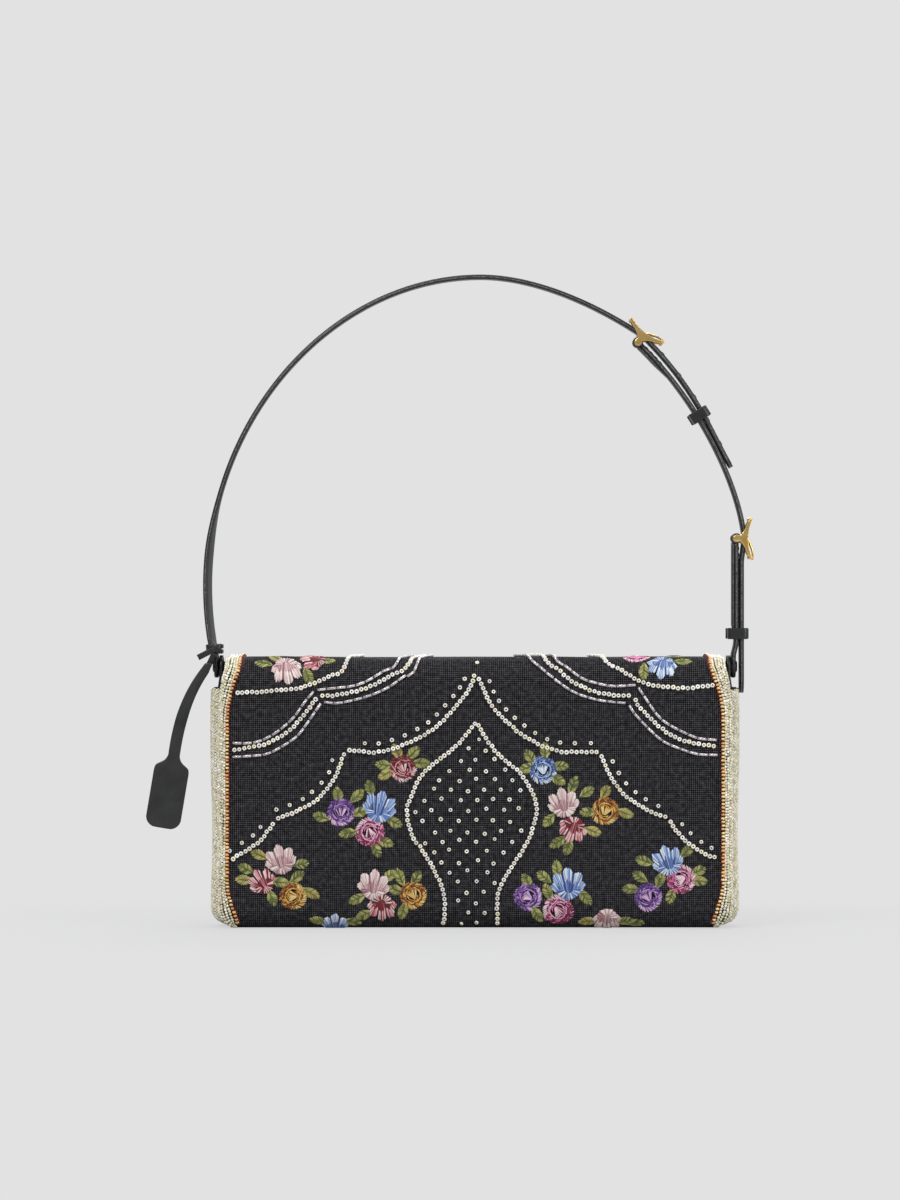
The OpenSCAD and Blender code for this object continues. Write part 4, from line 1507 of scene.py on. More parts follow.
@dataclass
class Case:
    """The body under the flap: canvas, base, gussets, lining, pocket, tabs and rivets."""

    finishes: Finishes
    form: BodyForm
    gussets: tuple[GussetForm, GussetForm]
    scale: PhotoScale = PhotoScale()
    wall: float = 1.8
    tab_path: tuple[Pair, ...] = ((135.6, 110.0), (135.6, 126.0), (134.7, 132.0), (134.7, 143.9))
    tab_w: float = 12.0
    tab_t: float = 2.2
    pivot_z: float = 138.0
    rivet_span: Pair = (132.8, 139.5)
    rivet_r: float = 3.0
    hinge: Pair = (HINGE_Y, 141.5)
    hinge_r: float = 1.3
    column_pitch: float = 1.95
    row_pitch: float = 1.5
    middle_px: float = 476.5

    def spot(self, x: float, y: float) -> Pair:
        """Across and down the back for a pixel of the photograph, as seen from behind."""
        scale = self.scale
        height = scale.aim_mm[1] - (y - scale.aim_px[1]) * scale.pitch
        return (-(x - self.middle_px) * scale.pitch, float(self.form.down_at(height - 4.0)))

    def canvas(self) -> None:
        """The canvas round the bag, the fold at the flap's hinge and the pad under the base."""
        form = self.form
        skin = publish("body_canvas", sheet_over(form, (-form.half_w, form.half_w), (0.0, form.length),
                                                 (96, 110)), self.finishes.canvas)
        thicken(skin, self.wall)
        settle(skin, Body.BAG, Slot.CANVAS, "front_panel", "back_panel")
        stretch(skin, 2 * form.half_w, form.length, "base_board")
        (y, z), radius = self.hinge, self.hinge_r
        fold = slab((-form.half_w, y - radius, form.back_top - 1.2), (form.half_w, y + radius, z + radius),
                    radius - 0.01)
        settle(publish("hinge_fold", fold, self.finishes.canvas), Body.BAG, Slot.CANVAS)
        low, high = corners("base_panel")
        pad = slab(low, (high[0], high[1], low[2] + form.low_z + 0.6), 0.9)
        sole = settle(publish("base_pad", pad, self.finishes.leather), Body.BAG, Slot.CANVAS, "base_panel")

    def ends(self) -> None:
        """The gusset cloth and its columns of beads."""
        dice = np.random.default_rng(SEED + 3)
        for gusset, name in zip(self.gussets, ("left", "right")):
            half = gusset.half
            cloth = publish(f"{name}_gusset_cloth", sheet_over(gusset, (-half, half), (0.0, gusset.length),
                                                               (44, 60), -0.5), self.finishes.canvas)
            thicken(cloth, self.wall - 0.4)
            settle(cloth, Body.BAG, Slot.CANVAS, f"{name}_gusset")
            stretch(cloth, 2 * half, gusset.length, "body_canvas")
            count = int(2 * half / self.column_pitch)
            beads = Stamp(barrel_bead(0.74, 1.42, 6))
            rows = np.arange(1.0, gusset.length - 1.5, self.row_pitch)
            for column in range(count):
                down = rows + self.row_pitch * dice.uniform(0, 1)
                across = -half + (column + 0.5) * 2 * half / count
                bead_columns(beads, gusset, across, down, IVORY_TINTS, dice)
            settle(beads.publish(f"{name}_gusset_beads", self.finishes.ivory), Body.BAG, Slot.BEADWORK)

    def back(self) -> None:
        """An amber bead line up each back seam, and the front's beads and posies again."""
        dice = np.random.default_rng(SEED + 4)
        form = self.form
        rows = np.arange(form.rise_at - 8.0, form.length - 1.0, self.row_pitch)
        amber = Stamp(barrel_bead(1.12, 1.7))
        for side in (-1, 1):
            bead_columns(amber, form, side * (form.half_w - 0.4), rows, AMBER_TINTS, dice)
        settle(amber.publish("back_amber_beads", self.finishes.amber), Body.BAG, Slot.BEADWORK)
        beads = Ornament(form, self.spot)
        beads.ogee()
        beads.festoon()
        beads.make(self.finishes, "back", Body.BAG)
        needle = Needle(form, -1.0)
        for posy in POSIES:
            places = [rose.y for rose in posy.roses]
            if min(places) > 700 and max(places) < 915:
                needle.posy(posy, self.spot)
        settle(needle.stamp.publish("back_posies", self.finishes.floss), Body.BAG, Slot.CANVAS)

    def inside(self) -> None:
        """The lining, its slip pocket, the board and the mouth's binding."""
        for name, node, radius, over in (("lining_cloth", "lining", 6.0, "mouth_piping"),
                                         ("pocket_cloth", "slip_pocket", 2.0, "lining_cloth")):
            low, high = corners(node)
            pocket = node == "slip_pocket"
            shape = tray(low, high, 0.8, radius, pocket)
            cloth = settle(publish(name, shape, self.finishes.lining), Body.BAG, Slot.LINING, node)
        low, high = corners("mouth_binding")
        settle(publish("mouth_piping", slab(low - (0, 0.3, 0.4), high + (0, 0.3, 0), 0.8),
                       self.finishes.leather), Body.BAG, Slot.LEATHER, "mouth_binding")
        dress_nodes(self.finishes.board, "base_board")
        dress_nodes(self.finishes.gold, "snap_sockets", "snap_washers")

    def fittings(self) -> None:
        """The leather tabs and the rivets that the strap turns on."""
        inner, outer = self.rivet_span
        cap, head = 0.8, self.rivet_r
        profile = [(inner, 0.0), (inner, 2.2), (inner + 0.35, head), (inner + cap, head), (inner + cap, 1.5),
                   (outer - cap, 1.5), (outer - cap, head), (outer - 0.35, head), (outer - 0.05, 2.2),
                   (outer, 0.0)]
        for side, name in ((-1, "left"), (1, "right")):
            path = evened(np.array(self.tab_path) * (side, 1), 1.5)
            wide = np.minimum(self.tab_w, 2 * np.sqrt(np.maximum(
                (self.tab_w / 2) ** 2 - np.maximum(path[:, 1] - self.pivot_z, 0) ** 2, 0.3)))
            settle(publish(f"{name}_tab_leather", ribbon(path, wide, self.tab_t, radius=0.7),
                           self.finishes.hide("leather")), Body.BAG, Slot.LEATHER, f"{name}_tab")
            rivet = turned_form(profile, Place((0, 0, self.pivot_z), SIDEWAYS, (side, 0, 0)))
            settle(publish(f"{name}_rivet_metal", rivet, self.finishes.black_metal), Body.BAG, Slot.GOLD,
                   f"{name}_rivet")

    def build(self) -> None:
        """Builds the case."""
        self.canvas()
        self.ends()
        self.back()
        self.inside()
        self.fittings()


def block(low: Sequence[float], high: Sequence[float]) -> Mesh:
    """A plain block between two corners."""
    work = bmesh.new()
    bmesh.ops.create_cube(work, size=1.0)
    low, high = np.array(low), np.array(high)
    for vert in work.verts:
        vert.co = Vector((low + high) / 2 + (high - low) * np.array(vert.co))
    return work


def slab(low: Sequence[float], high: Sequence[float], radius: float) -> Mesh:
    """A block with rounded edges."""
    work = block(low, high)
    bmesh.ops.bevel(work, geom=work.edges[:], offset=radius, segments=3, profile=0.5, affect="EDGES",
                    material=-1)
    return work


def tray(low: Rows, high: Rows, wall: float, radius: float, open_back: bool) -> Mesh:
    """A thin cloth box that is open at the top, with rounded edges and soft sides.

    Args:
        low: Its lowest corner.
        high: Its highest corner.
        wall: The thickness of its cloth.
        radius: The radius of its edges.
        open_back: Whether the side towards +Y is left out too.

    Returns:
        The box as a mesh in mm.
    """
    work = block(low, high)
    shut = [edge for edge in work.edges if not all(vert.co.z > high[2] - 0.01 for vert in edge.verts)
            and not (open_back and all(vert.co.y > high[1] - 0.01 for vert in edge.verts))]
    bmesh.ops.bevel(work, geom=shut, offset=radius, segments=4, profile=0.5, affect="EDGES", material=-1)
    work.normal_update()
    gone = [face for face in work.faces if face.normal.z > 0.9 or (open_back and face.normal.y > 0.9)]
    bmesh.ops.delete(work, geom=gone, context="FACES")
    bmesh.ops.subdivide_edges(work, edges=[edge for edge in work.edges if edge.calc_length() > 20], cuts=11,
                              use_grid_fill=True)
    for vert in work.verts:
        spot = vert.co
        if abs(spot.x) < high[0] - 8 and low[2] + 9 < spot.z:
            spot.y += 0.35 * math.sin(spot.x / 23) * math.sin(spot.z / 19 + 1)
    bmesh.ops.solidify(work, geom=work.faces[:], thickness=wall)
    bmesh.ops.recalc_face_normals(work, faces=work.faces)
    return work


# Leather and metal forms


SIDEWAYS: Triple = (0.0, 1.0, 0.0)


def heading(angle: float) -> Rows:
    """The unit step at an angle in degrees, in the plane of a path."""
    return np.array((math.cos(math.radians(angle)), math.sin(math.radians(angle))))


def curve(start: Sequence[float], angle: float, reach: float, end: Sequence[float], end_angle: float,
          end_reach: float, count: int = 40) -> Rows:
    """A smooth stretch of path between two points.

    Args:
        start: Its first point.
        angle: The way it leaves, in degrees.
        reach: How strongly it keeps that way.
        end: Its last point.
        end_angle: The way it arrives.
        end_reach: How strongly it keeps that one.
        count: How many steps it has.

    Returns:
        Its points, one row each.
    """
    p0, p3 = np.array(start, float), np.array(end, float)
    p1, p2 = p0 + reach * heading(angle), p3 - end_reach * heading(end_angle)
    t = np.linspace(0, 1, count + 1)[:, None]
    return (1 - t) ** 3 * p0 + 3 * t * (1 - t) ** 2 * p1 + 3 * t * t * (1 - t) * p2 + t ** 3 * p3


def joined(*stretches: Rows) -> Rows:
    """One path from several, without repeated points."""
    path = np.vstack([np.reshape(stretch, (-1, 2)) for stretch in stretches])
    return path[np.concatenate(((True,), np.diff(lengths(path)) > 1e-3))]


def evened(path: Rows, pitch: float) -> Rows:
    """The path again, in even steps."""
    run = lengths(path)
    marks = np.linspace(0, run[-1], max(2, round(run[-1] / pitch) + 1))
    return np.stack([np.interp(marks, run, path[:, i]) for i in (0, 1)], axis=1)


def ringed(loop: Rows) -> Rows:
    """A loop with its first point again at its end."""
    return np.vstack((loop, loop[:1]))


def normals(path: Rows, closed: bool = False) -> Rows:
    """Unit vectors to the left of a path's way."""
    way = np.roll(path, -1, axis=0) - np.roll(path, 1, axis=0) if closed else np.gradient(path, axis=0)
    left = np.stack((-way[:, 1], way[:, 0]), axis=1)
    return left / (np.linalg.norm(left, axis=1, keepdims=True) + 1e-9)


def round_loop(half_p: float, half_q: float, radius: float, steps: int = 5) -> Rows:
    """A closed loop round a rectangle with rounded corners, from its lower right, anticlockwise."""
    corners = ((1, -1), (1, 1), (-1, 1), (-1, -1))
    return np.array([np.array((p * (half_p - radius), q * (half_q - radius)))
                     + radius * heading(90 * (turn - 1) + 90 * step / steps)
                     for turn, (p, q) in enumerate(corners) for step in range(steps + 1)])


@dataclass(frozen=True)
class Place:
    """Where a flat path lies: its origin and the directions of its two axes and of its width."""

    origin: Triple = (0.0, 0.0, 0.0)
    p_axis: Triple = (1.0, 0.0, 0.0)
    width_axis: Triple = SIDEWAYS
    q_axis: Triple = (0.0, 0.0, 1.0)

    def point(self, p: float, width: float, q: float) -> Vector:
        """A point in space."""
        spot = np.array(self.origin) + p * np.array(self.p_axis) + width * np.array(self.width_axis)
        return Vector(spot + q * np.array(self.q_axis))


def seat(spot: Sequence[float], turn: float, y: float = 0.0) -> tuple[Triple, Triple, Triple]:
    """A spot on the strap, with the ways along the strap and out of it there."""
    along, out = heading(turn), heading(turn + 90)
    return (spot[0], y, spot[1]), (along[0], 0, along[1]), (out[0], 0, out[1])


def ribbon(path: Rows, width: Union[float, Rows], thick: Union[float, Rows], place: Place = Place(),
           closed: bool = False, radius: float = 0.8, shift: Union[float, Rows] = 0.0,
           twist: Union[float, Rows] = 0.0) -> Mesh:
    """A leather band along a path, with rounded edges.

    Args:
        path: The middle of its thickness.
        width: Its width, or one for each point.
        thick: Its thickness, or one for each point.
        place: Where the path lies.
        closed: Whether it closes on itself.
        radius: The radius of its edges.
        shift: How far it lies to the left of the path.
        twist: How far it is turned about its own length, in radians.

    Returns:
        The band, with material 0 on its left face, 1 on its edges and 2 on its right face.
    """
    count = len(path)
    left = normals(path, closed)
    wide, deep, aside, lean = (np.broadcast_to(np.asarray(value, float), (count,))
                               for value in (width, thick, shift, twist))
    around = 24
    spans = count if closed else count - 1
    work = bmesh.new()
    bmesh.ops.create_grid(work, x_segments=spans, y_segments=around, size=0.5)
    for face in work.faces:
        quarter, within = divmod((face.calc_center_median().y + 0.5) * around, around / 4)
        face.material_index = 1 if within < around / 4 - 1 else (0, 1, 2, 1)[int(quarter) % 4]
    for vert in work.verts:
        i = round((vert.co.x + 0.5) * spans) % count
        j = round((vert.co.y + 0.5) * around) % around
        corner = min(radius, deep[i] / 2, wide[i] / 2)
        out, side = round_loop(deep[i] / 2, wide[i] / 2, corner)[(j + 6) % around]
        cos, sin = math.cos(lean[i]), math.sin(lean[i])
        out, side = out * cos - side * sin, out * sin + side * cos
        spot = path[i] + left[i] * (out + aside[i])
        vert.co = place.point(spot[0], side, spot[1])
    bmesh.ops.remove_doubles(work, verts=work.verts, dist=1e-4)
    if not closed:
        bmesh.ops.holes_fill(work, edges=[edge for edge in work.edges if edge.is_boundary], sides=0)
    bmesh.ops.recalc_face_normals(work, faces=work.faces)
    return work


def plate(outline: Rows, thick: float, place: Place, bevel: float) -> Mesh:
    """A plate of any outline, given anticlockwise, with rounded edges; place is its middle plane."""
    work = bmesh.new()
    face = work.faces.new([work.verts.new(place.point(p, -thick / 2, q)) for p, q in outline])
    made = bmesh.ops.extrude_face_region(work, geom=[face])
    lifted = [item for item in made["geom"] if isinstance(item, bmesh.types.BMVert)]
    bmesh.ops.translate(work, vec=Vector(place.width_axis) * thick, verts=lifted)
    bmesh.ops.recalc_face_normals(work, faces=work.faces)
    rims = [edge for edge in work.edges if len(edge.link_faces) == 2
            and max(len(side.verts) for side in edge.link_faces) > 4]
    bmesh.ops.bevel(work, geom=rims, offset=bevel, segments=4, profile=0.5, affect="EDGES", material=-1,
                    clamp_overlap=True)
    return work


def turned_form(profile: Sequence[Pair], place: Place, steps: int = 40) -> Mesh:
    """A form spun about a place's width axis, from pairs of distance along it and radius."""
    work = spun([(radius, along, 0) for along, radius in profile], SIDEWAYS, steps)
    bmesh.ops.remove_doubles(work, verts=work.verts, dist=1e-4)
    for vert in work.verts:
        vert.co = place.point(*vert.co)
    bmesh.ops.recalc_face_normals(work, faces=work.faces)
    return work


def rod(radius: float, half: float, rounding: float = 0.35) -> list[Pair]:
    """The profile of a rod with rounded ends, along its width axis."""
    ends = [(half - rounding + rounding * math.sin(math.radians(angle)),
             radius - rounding + rounding * math.cos(math.radians(angle))) for angle in (0, 30, 60, 90)]
    return [(-half, 0.0)] + [(-along, high) for along, high in reversed(ends)] + ends + [(half, 0.0)]


def merged(whole: Mesh, *parts: Mesh) -> Mesh:
    """Several meshes as one; the later ones are freed."""
    for part in parts:
        mesh = bpy.data.meshes.new("part")
        part.to_mesh(mesh)
        part.free()
        whole.from_mesh(mesh)
        bpy.data.meshes.remove(mesh)
    return whole


@dataclass(frozen=True)
class Buckle:
    """Where a buckle's centre bar is, and the strap's way there in degrees."""

    name: str
    bar: Pair
    turn: float

    def at(self, p: float, q: float) -> Rows:
        """A point p along the strap from the bar, and q out from it."""
        return np.array(self.bar) + p * heading(self.turn) + q * heading(self.turn + 90)

    def place(self, y: float = 0.0) -> Place:
        """The buckle's own frame: p along the strap, q outwards, width along the bar."""
        origin, along, out = seat(self.bar, self.turn, y)
        return Place(origin, along, SIDEWAYS, out)


@dataclass
class Straps:
    """The shoulder strap: three leather lengths, two buckles with their prongs, and two keepers.
    """

    finishes: Finishes
    width: float = 12.0
    thick: float = 2.5
    pitch: float = 2.2
    pivot_z: float = 138.0
    lobe_x: float = 137.35
    lobe_r: float = 6.0
    lobe_bore: float = 1.75
    leg_x: float = 138.85
    tail_x: float = 141.65
    apex: Pair = (3.0, 345.0)
    tail_end: Pair = (136.2, 243.8)
    upper: Buckle = Buckle("upper", (86.6, 310.2), -37.5)
    lower: Buckle = Buckle("lower", (138.85, 206.0), -90.0)
    bar_lift: float = 4.4
    frame_lift: float = 6.85
    buckle_l: float = 20.0
    rail_t: float = 1.8
    wrap_r: float = 2.85
    bore_r: float = 1.25
    slot_w: float = 3.2
    root: float = 2.05
    ply: float = 1.3
    stitch_pitch: float = 3.3
    stitch_in: float = 1.7

    def press_along(self, stamp: Stamp, spots: Rows, lift: float, *places: float) -> None:
        """Presses a stamp on a band's outer face at each inner spot of its path, at some places across."""
        for spot, out in list(zip(spots, normals(spots)))[1:-1]:
            frame = np.array(((out[1], 0, -out[0]), SIDEWAYS, (out[0], 0, out[1])))
            base = spot + out * lift
            for y in places:
                stamp.press(np.array((base[0], y, base[1])) + stamp.points @ frame)

    def leather(self, name: str, *parts: Mesh) -> None:
        """Makes one leather length of the strap."""
        settle(publish(f"{name}_strap_leather", merged(*parts), self.finishes.hide()), Body.STRAP,
               Slot.LEATHER, f"{name}_strap")

    def stitches(self, name: str, path: Rows) -> None:
        """Sews two rows of stitches along a length's face."""
        stamp = Stamp(stitch_form())
        y = self.width / 2 - self.stitch_in
        self.press_along(stamp, evened(path, self.stitch_pitch), self.thick / 2, -y, y)
        settle(stamp.publish(f"{name}_stitches", self.finishes.stitch), Body.STRAP, Slot.LEATHER)

    def band(self, path: Rows, tip: bool = False, twist: Union[float, Rows] = 0.0) -> Mesh:
        """A length's outer layer, with its far end rounded if it is a tail."""
        run = lengths(path)
        left = np.clip((run[-1] - run) / (self.width / 2), 0.02, 1)
        wide = self.width * np.sqrt(1 - (1 - left) ** 2) if tip else self.width
        return ribbon(path, wide, self.thick, radius=1.0, twist=twist)

    def fold(self, path: Rows, length: float, skive: float) -> Mesh:
        """The end of a length folded back against its inner face and pared thin."""
        run = lengths(path)
        deep = self.ply * np.clip((length - run[run < length]) / skive, 0.12, 1)
        return ribbon(path[run < length], self.width - 0.3, deep, shift=-(self.thick + deep) / 2 + 0.12,
                      radius=0.5)

    def wraps(self, buckle: Buckle) -> list[Mesh]:
        """A length's loop round a buckle's bar, open in the middle for the prong."""
        middle, deep = (self.wrap_r + self.bore_r) / 2, self.wrap_r - self.bore_r - 0.1
        loop = np.array([middle * heading(-angle) for angle in range(0, 360, 12)])
        half = (self.width - self.slot_w) / 2
        return [ribbon(loop, half, deep, buckle.place(y * (self.slot_w + half) / 2), True, 0.5)
                for y in (-1, 1)]

    def lobe(self, side: float) -> Mesh:
        """The strap's round foot on its rivet."""
        half = self.thick / 2
        rim = [point for point in rod(self.lobe_r, half, 0.7) if point[1] > 0]
        profile = [(-half, self.lobe_bore), *rim, (half, self.lobe_bore), (-half, self.lobe_bore)]
        return turned_form(profile, Place((side * self.lobe_x, 0, self.pivot_z), SIDEWAYS, (1, 0, 0)))

    def long(self) -> None:
        """The long strap from the left rivet over the top to its loose tail."""
        foot = np.array((-self.lobe_x, self.pivot_z))
        over = self.upper.at(0, self.bar_lift)
        tail = curve(over, -44.6, 41, self.tail_end, -59.4, 21)
        path = evened(joined(foot, foot + (0, self.lobe_r - 1),
                             curve((-139.6, 150.0), 99.6, 105, self.apex, 0, 86.5, 90),
                             curve(self.apex, 0, 30, over, -34, 28), tail), self.pitch)
        height = path[:, 1]
        lean = math.radians(11.5) * soft_step(height, 143, 152) * (1 - soft_step(height, 196, 232))
        leg = (path[:, 0] < 0) & (height < 232)
        self.leather("long", self.band(path, True, np.where(leg, lean, 0)), self.lobe(-1))
        # The holes are not cut: darker rings of the painted-edge leather sit on the face, their darkness
        # partly the edge finish and partly painted shade for the holes' insides.
        holes = Stamp(ring_bead(1.35, 0.85, 0.28))
        self.press_along(holes, evened(tail, 14.0), self.thick / 2 - 0.05, 0.0)
        settle(holes.publish("tail_holes", self.finishes.edge), Body.STRAP, Slot.LEATHER)

    def middle(self) -> None:
        """The middle strap between the two buckles, with its folded end and its tail."""
        over = self.lower.at(0, self.bar_lift)
        start = np.array(self.upper.bar) + self.root * heading(-44)
        path = evened(joined(curve(start, -44, 40, over, -84, 32), (self.tail_x, over[1] - 12),
                             (self.tail_x, over[1] - 82)), self.pitch)
        self.leather("middle", self.band(path, True), self.fold(path, 24.0, 12.0), *self.wraps(self.upper))
        self.stitches("middle", path[:9])

    def short(self) -> None:
        """The short strap from the lower buckle to the right rivet, in two plies."""
        foot = np.array((self.lobe_x, self.pivot_z))
        path = evened(joined(np.array(self.lower.bar) - (0, self.root),
                             (self.leg_x, self.pivot_z + self.lobe_r + 6), foot + (0, self.lobe_r), foot),
                      self.pitch)
        self.leather("short", self.band(path), self.fold(path, 48.0, 4.0), self.lobe(1),
                     *self.wraps(self.lower))
        self.stitches("short", path[:22])

    def rail(self) -> Rows:
        """A buckle's side in its own frame: a bow whose tips flare, with a lug to the centre bar."""
        tip, top = self.buckle_l / 2 + 0.9, self.frame_lift
        right = [(tip - 6.3, top - 0.25), (tip - 2.6, top + 0.75), (tip, top + 1.5), (tip - 1.2, top - 0.2),
                 (tip - 3.6, top - 1.5), (tip - 6.6, top - 2.9), (2.3, top - 4.4), (1.6, 1.9),
                 *(1.95 * heading(angle) for angle in (20, -20, -60, -90))]
        left = [(-p, q) for p, q in right[:-1][::-1]]
        return smooth_walk(ringed(np.array([(0, top - 0.75), *right, *left])), 0.5)[0][::-1]

    def buckle(self, buckle: Buckle) -> None:
        """One buckle: two bowed sides, two rounded ends and the centre bar."""
        rail_y = self.width / 2 + 0.6 + self.rail_t / 2
        parts = [plate(self.rail(), self.rail_t, buckle.place(y), 0.55) for y in (-rail_y, rail_y)]
        for along in (-1, 1):
            end = replace(buckle, bar=buckle.at(along * self.buckle_l / 2, self.frame_lift + 0.35))
            parts.append(turned_form(rod(1.1, rail_y), end.place()))
        parts.append(turned_form(rod(1.2, rail_y + 0.7), buckle.place()))
        settle(publish(f"{buckle.name}_buckle_frame", merged(*parts), self.finishes.gold), Body.STRAP,
               Slot.GOLD, f"{buckle.name}_buckle")

    def prong(self, buckle: Buckle, body: Body) -> None:
        """One prong: a collar on the centre bar and a finger that tapers to its tip."""
        rest = self.frame_lift + 2.0
        track = np.array(((0.3, 1.95), (1, self.bar_lift + 1.85), (3.5, self.frame_lift + 0.8), (7, rest),
                          (11.6, rest - 0.1)))
        spots = smooth_walk(track, 0.4)[0]
        share = np.linspace(0, 1, len(spots))
        finger = ribbon(spots, 2.2 - 0.7 * share, 1.6 - 0.6 * share, buckle.place(), radius=0.6)
        collar = [(-1.0, 1.25), (-1.0, 2.3), (-0.7, 2.6), (0.7, 2.6), (1.0, 2.3), (1.0, 1.25), (-1.0, 1.25)]
        shape = merged(finger, turned_form(collar, buckle.place()))
        settle(publish(f"{buckle.name}_prong_finger", shape, [self.finishes.gold] * 3), body, Slot.GOLD,
               f"{buckle.name}_prong")

    def keeper(self, name: str, body: Body, spot: Pair, turn: float, pitch: float, room: float,
               hide: Sequence[Material]) -> None:
        """One keeper: a closed leather band round both layers.

        Args:
            name: Which keeper it is.
            body: The body that it rides on.
            spot: The middle of the inner layer where it sits.
            turn: The strap's way there.
            pitch: How far the outer layer's middle lies from the inner one's.
            room: How much more room it has inwards, for a folded ply.
            hide: Its leather.
        """
        length, wall, gap = 6.0, 1.6, 0.4
        clear = gap + wall / 2
        loop = round_loop(self.width / 2 + clear, (pitch + self.thick + room) / 2 + clear, 1.0)
        dense = evened(ringed(loop), 0.8)[:-1]
        origin, along, out = seat(np.array(spot) + (pitch - room) / 2 * heading(turn + 90), turn)
        place = Place(origin, SIDEWAYS, along, out)
        band = ribbon(dense, length, wall, place, True, 0.45)
        overlap = ribbon(dense[:19], length - 0.5, 0.9, place, False, 0.3, shift=-(wall + 0.7) / 2)
        settle(publish(f"{name}_keeper_band", merged(band, overlap), hide), body, Slot.LEATHER,
               f"{name}_keeper")

    def build(self) -> None:
        """Builds the strap and what is on it."""
        self.long()
        self.middle()
        self.short()
        self.buckle(self.upper)
        self.buckle(self.lower)
        self.prong(self.upper, Body.UPPER_PRONG)
        self.prong(self.lower, Body.LOWER_PRONG)
        # The upper keeper has the creased leather, with its painted highlight, on both faces.
        self.keeper("upper", Body.UPPER_KEEPER, (118.227, 270.953), -58.1139, 3.117, 0.6,
                    self.finishes.hide("pale_and_highlit"))
        self.keeper("lower", Body.LOWER_KEEPER, (self.leg_x, self.pivot_z + 17.5), -90,
                    self.tail_x - self.leg_x, 1.3, self.finishes.hide("leather"))


@dataclass
class Tag:
    """The thong's knot on the strap's left foot, its first turn, and the tag that hangs from it."""

    finishes: Finishes
    thick: float = 2.2
    foot: Pair = (-138.35, 147.4)
    knot_y: float = -8.7
    head: Triple = (-141.9, -13.7, 137.6)
    loop: Triple = (-141.4, -11.2, 138.8)
    paddle_top: Pair = (-159.4, 91.1)
    drop: float = 46.5
    half_w: float = 9.3
    tilt: float = 9.5
    top_w: float = 4.5
    low_w: float = 6.2

    def knot(self) -> None:
        """A wrap round the strap's foot in two turns, two cut ends and a cross over them."""
        dense = evened(ringed(round_loop(3.55, 7.6, 1.4)), 1.3)[:-1]
        forward = (0, -1, 0)
        parts = []
        for lean, rise, wide in ((0.05, 1.2, 2.6), (-0.06, -1.2, 2.4)):
            place = Place((self.foot[0], 0, self.foot[1] + rise), (1, 0, lean), (-lean, 0, 1), SIDEWAYS)
            parts.append(ribbon(dense, wide, 1.9, place, True, 0.6))
        for spot, turn, length, wide in (((-137.8, 147.4), 207.0, 10.6, 3.1),
                                         ((-138.0, 145.6), 245.0, 10.8, 3.0)):
            track = smooth_walk(np.array([(0.0, 0.0), (length * 0.5, 0.25), (length, -0.1)]), 1.0)[0]
            place = Place(*seat(spot, turn, self.knot_y - 0.35), forward)
            parts.append(ribbon(track, wide, 1.8, place, radius=0.4))
        track = smooth_walk(np.array([(-2.6, 0.0), (0.0, 0.4), (2.8, 0.0)]), 0.7)[0]
        place = Place((self.foot[0] + 1.0, self.knot_y - 0.3, self.foot[1]), (0.82, 0, -0.57),
                      (0.57, 0, 0.82), forward)
        parts.append(ribbon(track, 3.4, 1.4, place, radius=0.5))
        # The knot has the creased leather, with its painted highlight, on both faces.
        settle(publish("tag_thong_knot", merged(*parts), self.finishes.hide("pale_and_highlit")), Body.STRAP,
               Slot.LEATHER, "tag_knot")

    def turn(self) -> None:
        """The thong's first turn."""
        shape = turned_form(rod(1.1, 1.8, 0.5), Place(self.loop, SIDEWAYS, (1, 0, 0)), 24)
        settle(publish("tag_thong_turn", shape, self.finishes.leather), Body.TAG_LOOP, Slot.LEATHER,
               "tag_loop")

    def outline(self) -> Rows:
        """The tag's outline: the thong's two sides and the paddle with soft shoulders."""
        track = curve((self.head[0], self.head[2] - 0.3), -128, self.drop / 3, self.paddle_top, -98,
                      self.drop * 0.42, 26)
        share = np.linspace(0, 1, len(track))[:, None]
        half = (self.top_w + (self.low_w - self.top_w) * np.minimum(share * 1.6, 1)) / 2
        right, left = track + normals(track) * half, track - normals(track) * half
        low_r = 5.6
        corner = [np.array((self.half_w - low_r, 33.4)) + low_r * heading(angle)
                  for angle in (10, 30, 50, 70, 90)]
        paddle = [(3.5, 1.4), (4.7, 3.3), (6.9, 4.9), (8.6, 6.2), (9.25, 8.6), (self.half_w, 14.0),
                  (self.half_w, 32.5), *corner]
        down = [[turned((side * x, -z), math.radians(-self.tilt)) + self.paddle_top for x, z in paddle]
                for side in (1, -1)]
        crown = [np.array((self.head[0], self.head[2])) + self.top_w / 2 * heading(angle)
                 for angle in (20, 55, 90, 125, 160)]
        ring = np.vstack((right[1:], down[0], down[1][::-1], left[::-1][:-1], crown[::-1]))
        return smooth_walk(ringed(ring), 0.8)[0]

    def build(self) -> None:
        """Builds the tag, with a blank face."""
        self.knot()
        self.turn()
        shape = plate(self.outline(), self.thick, Place((0, self.head[1], 0)), 0.55)
        settle(publish("tag_leather", shape, self.finishes.leather), Body.TAG, Slot.LEATHER, "tag")


# The studio


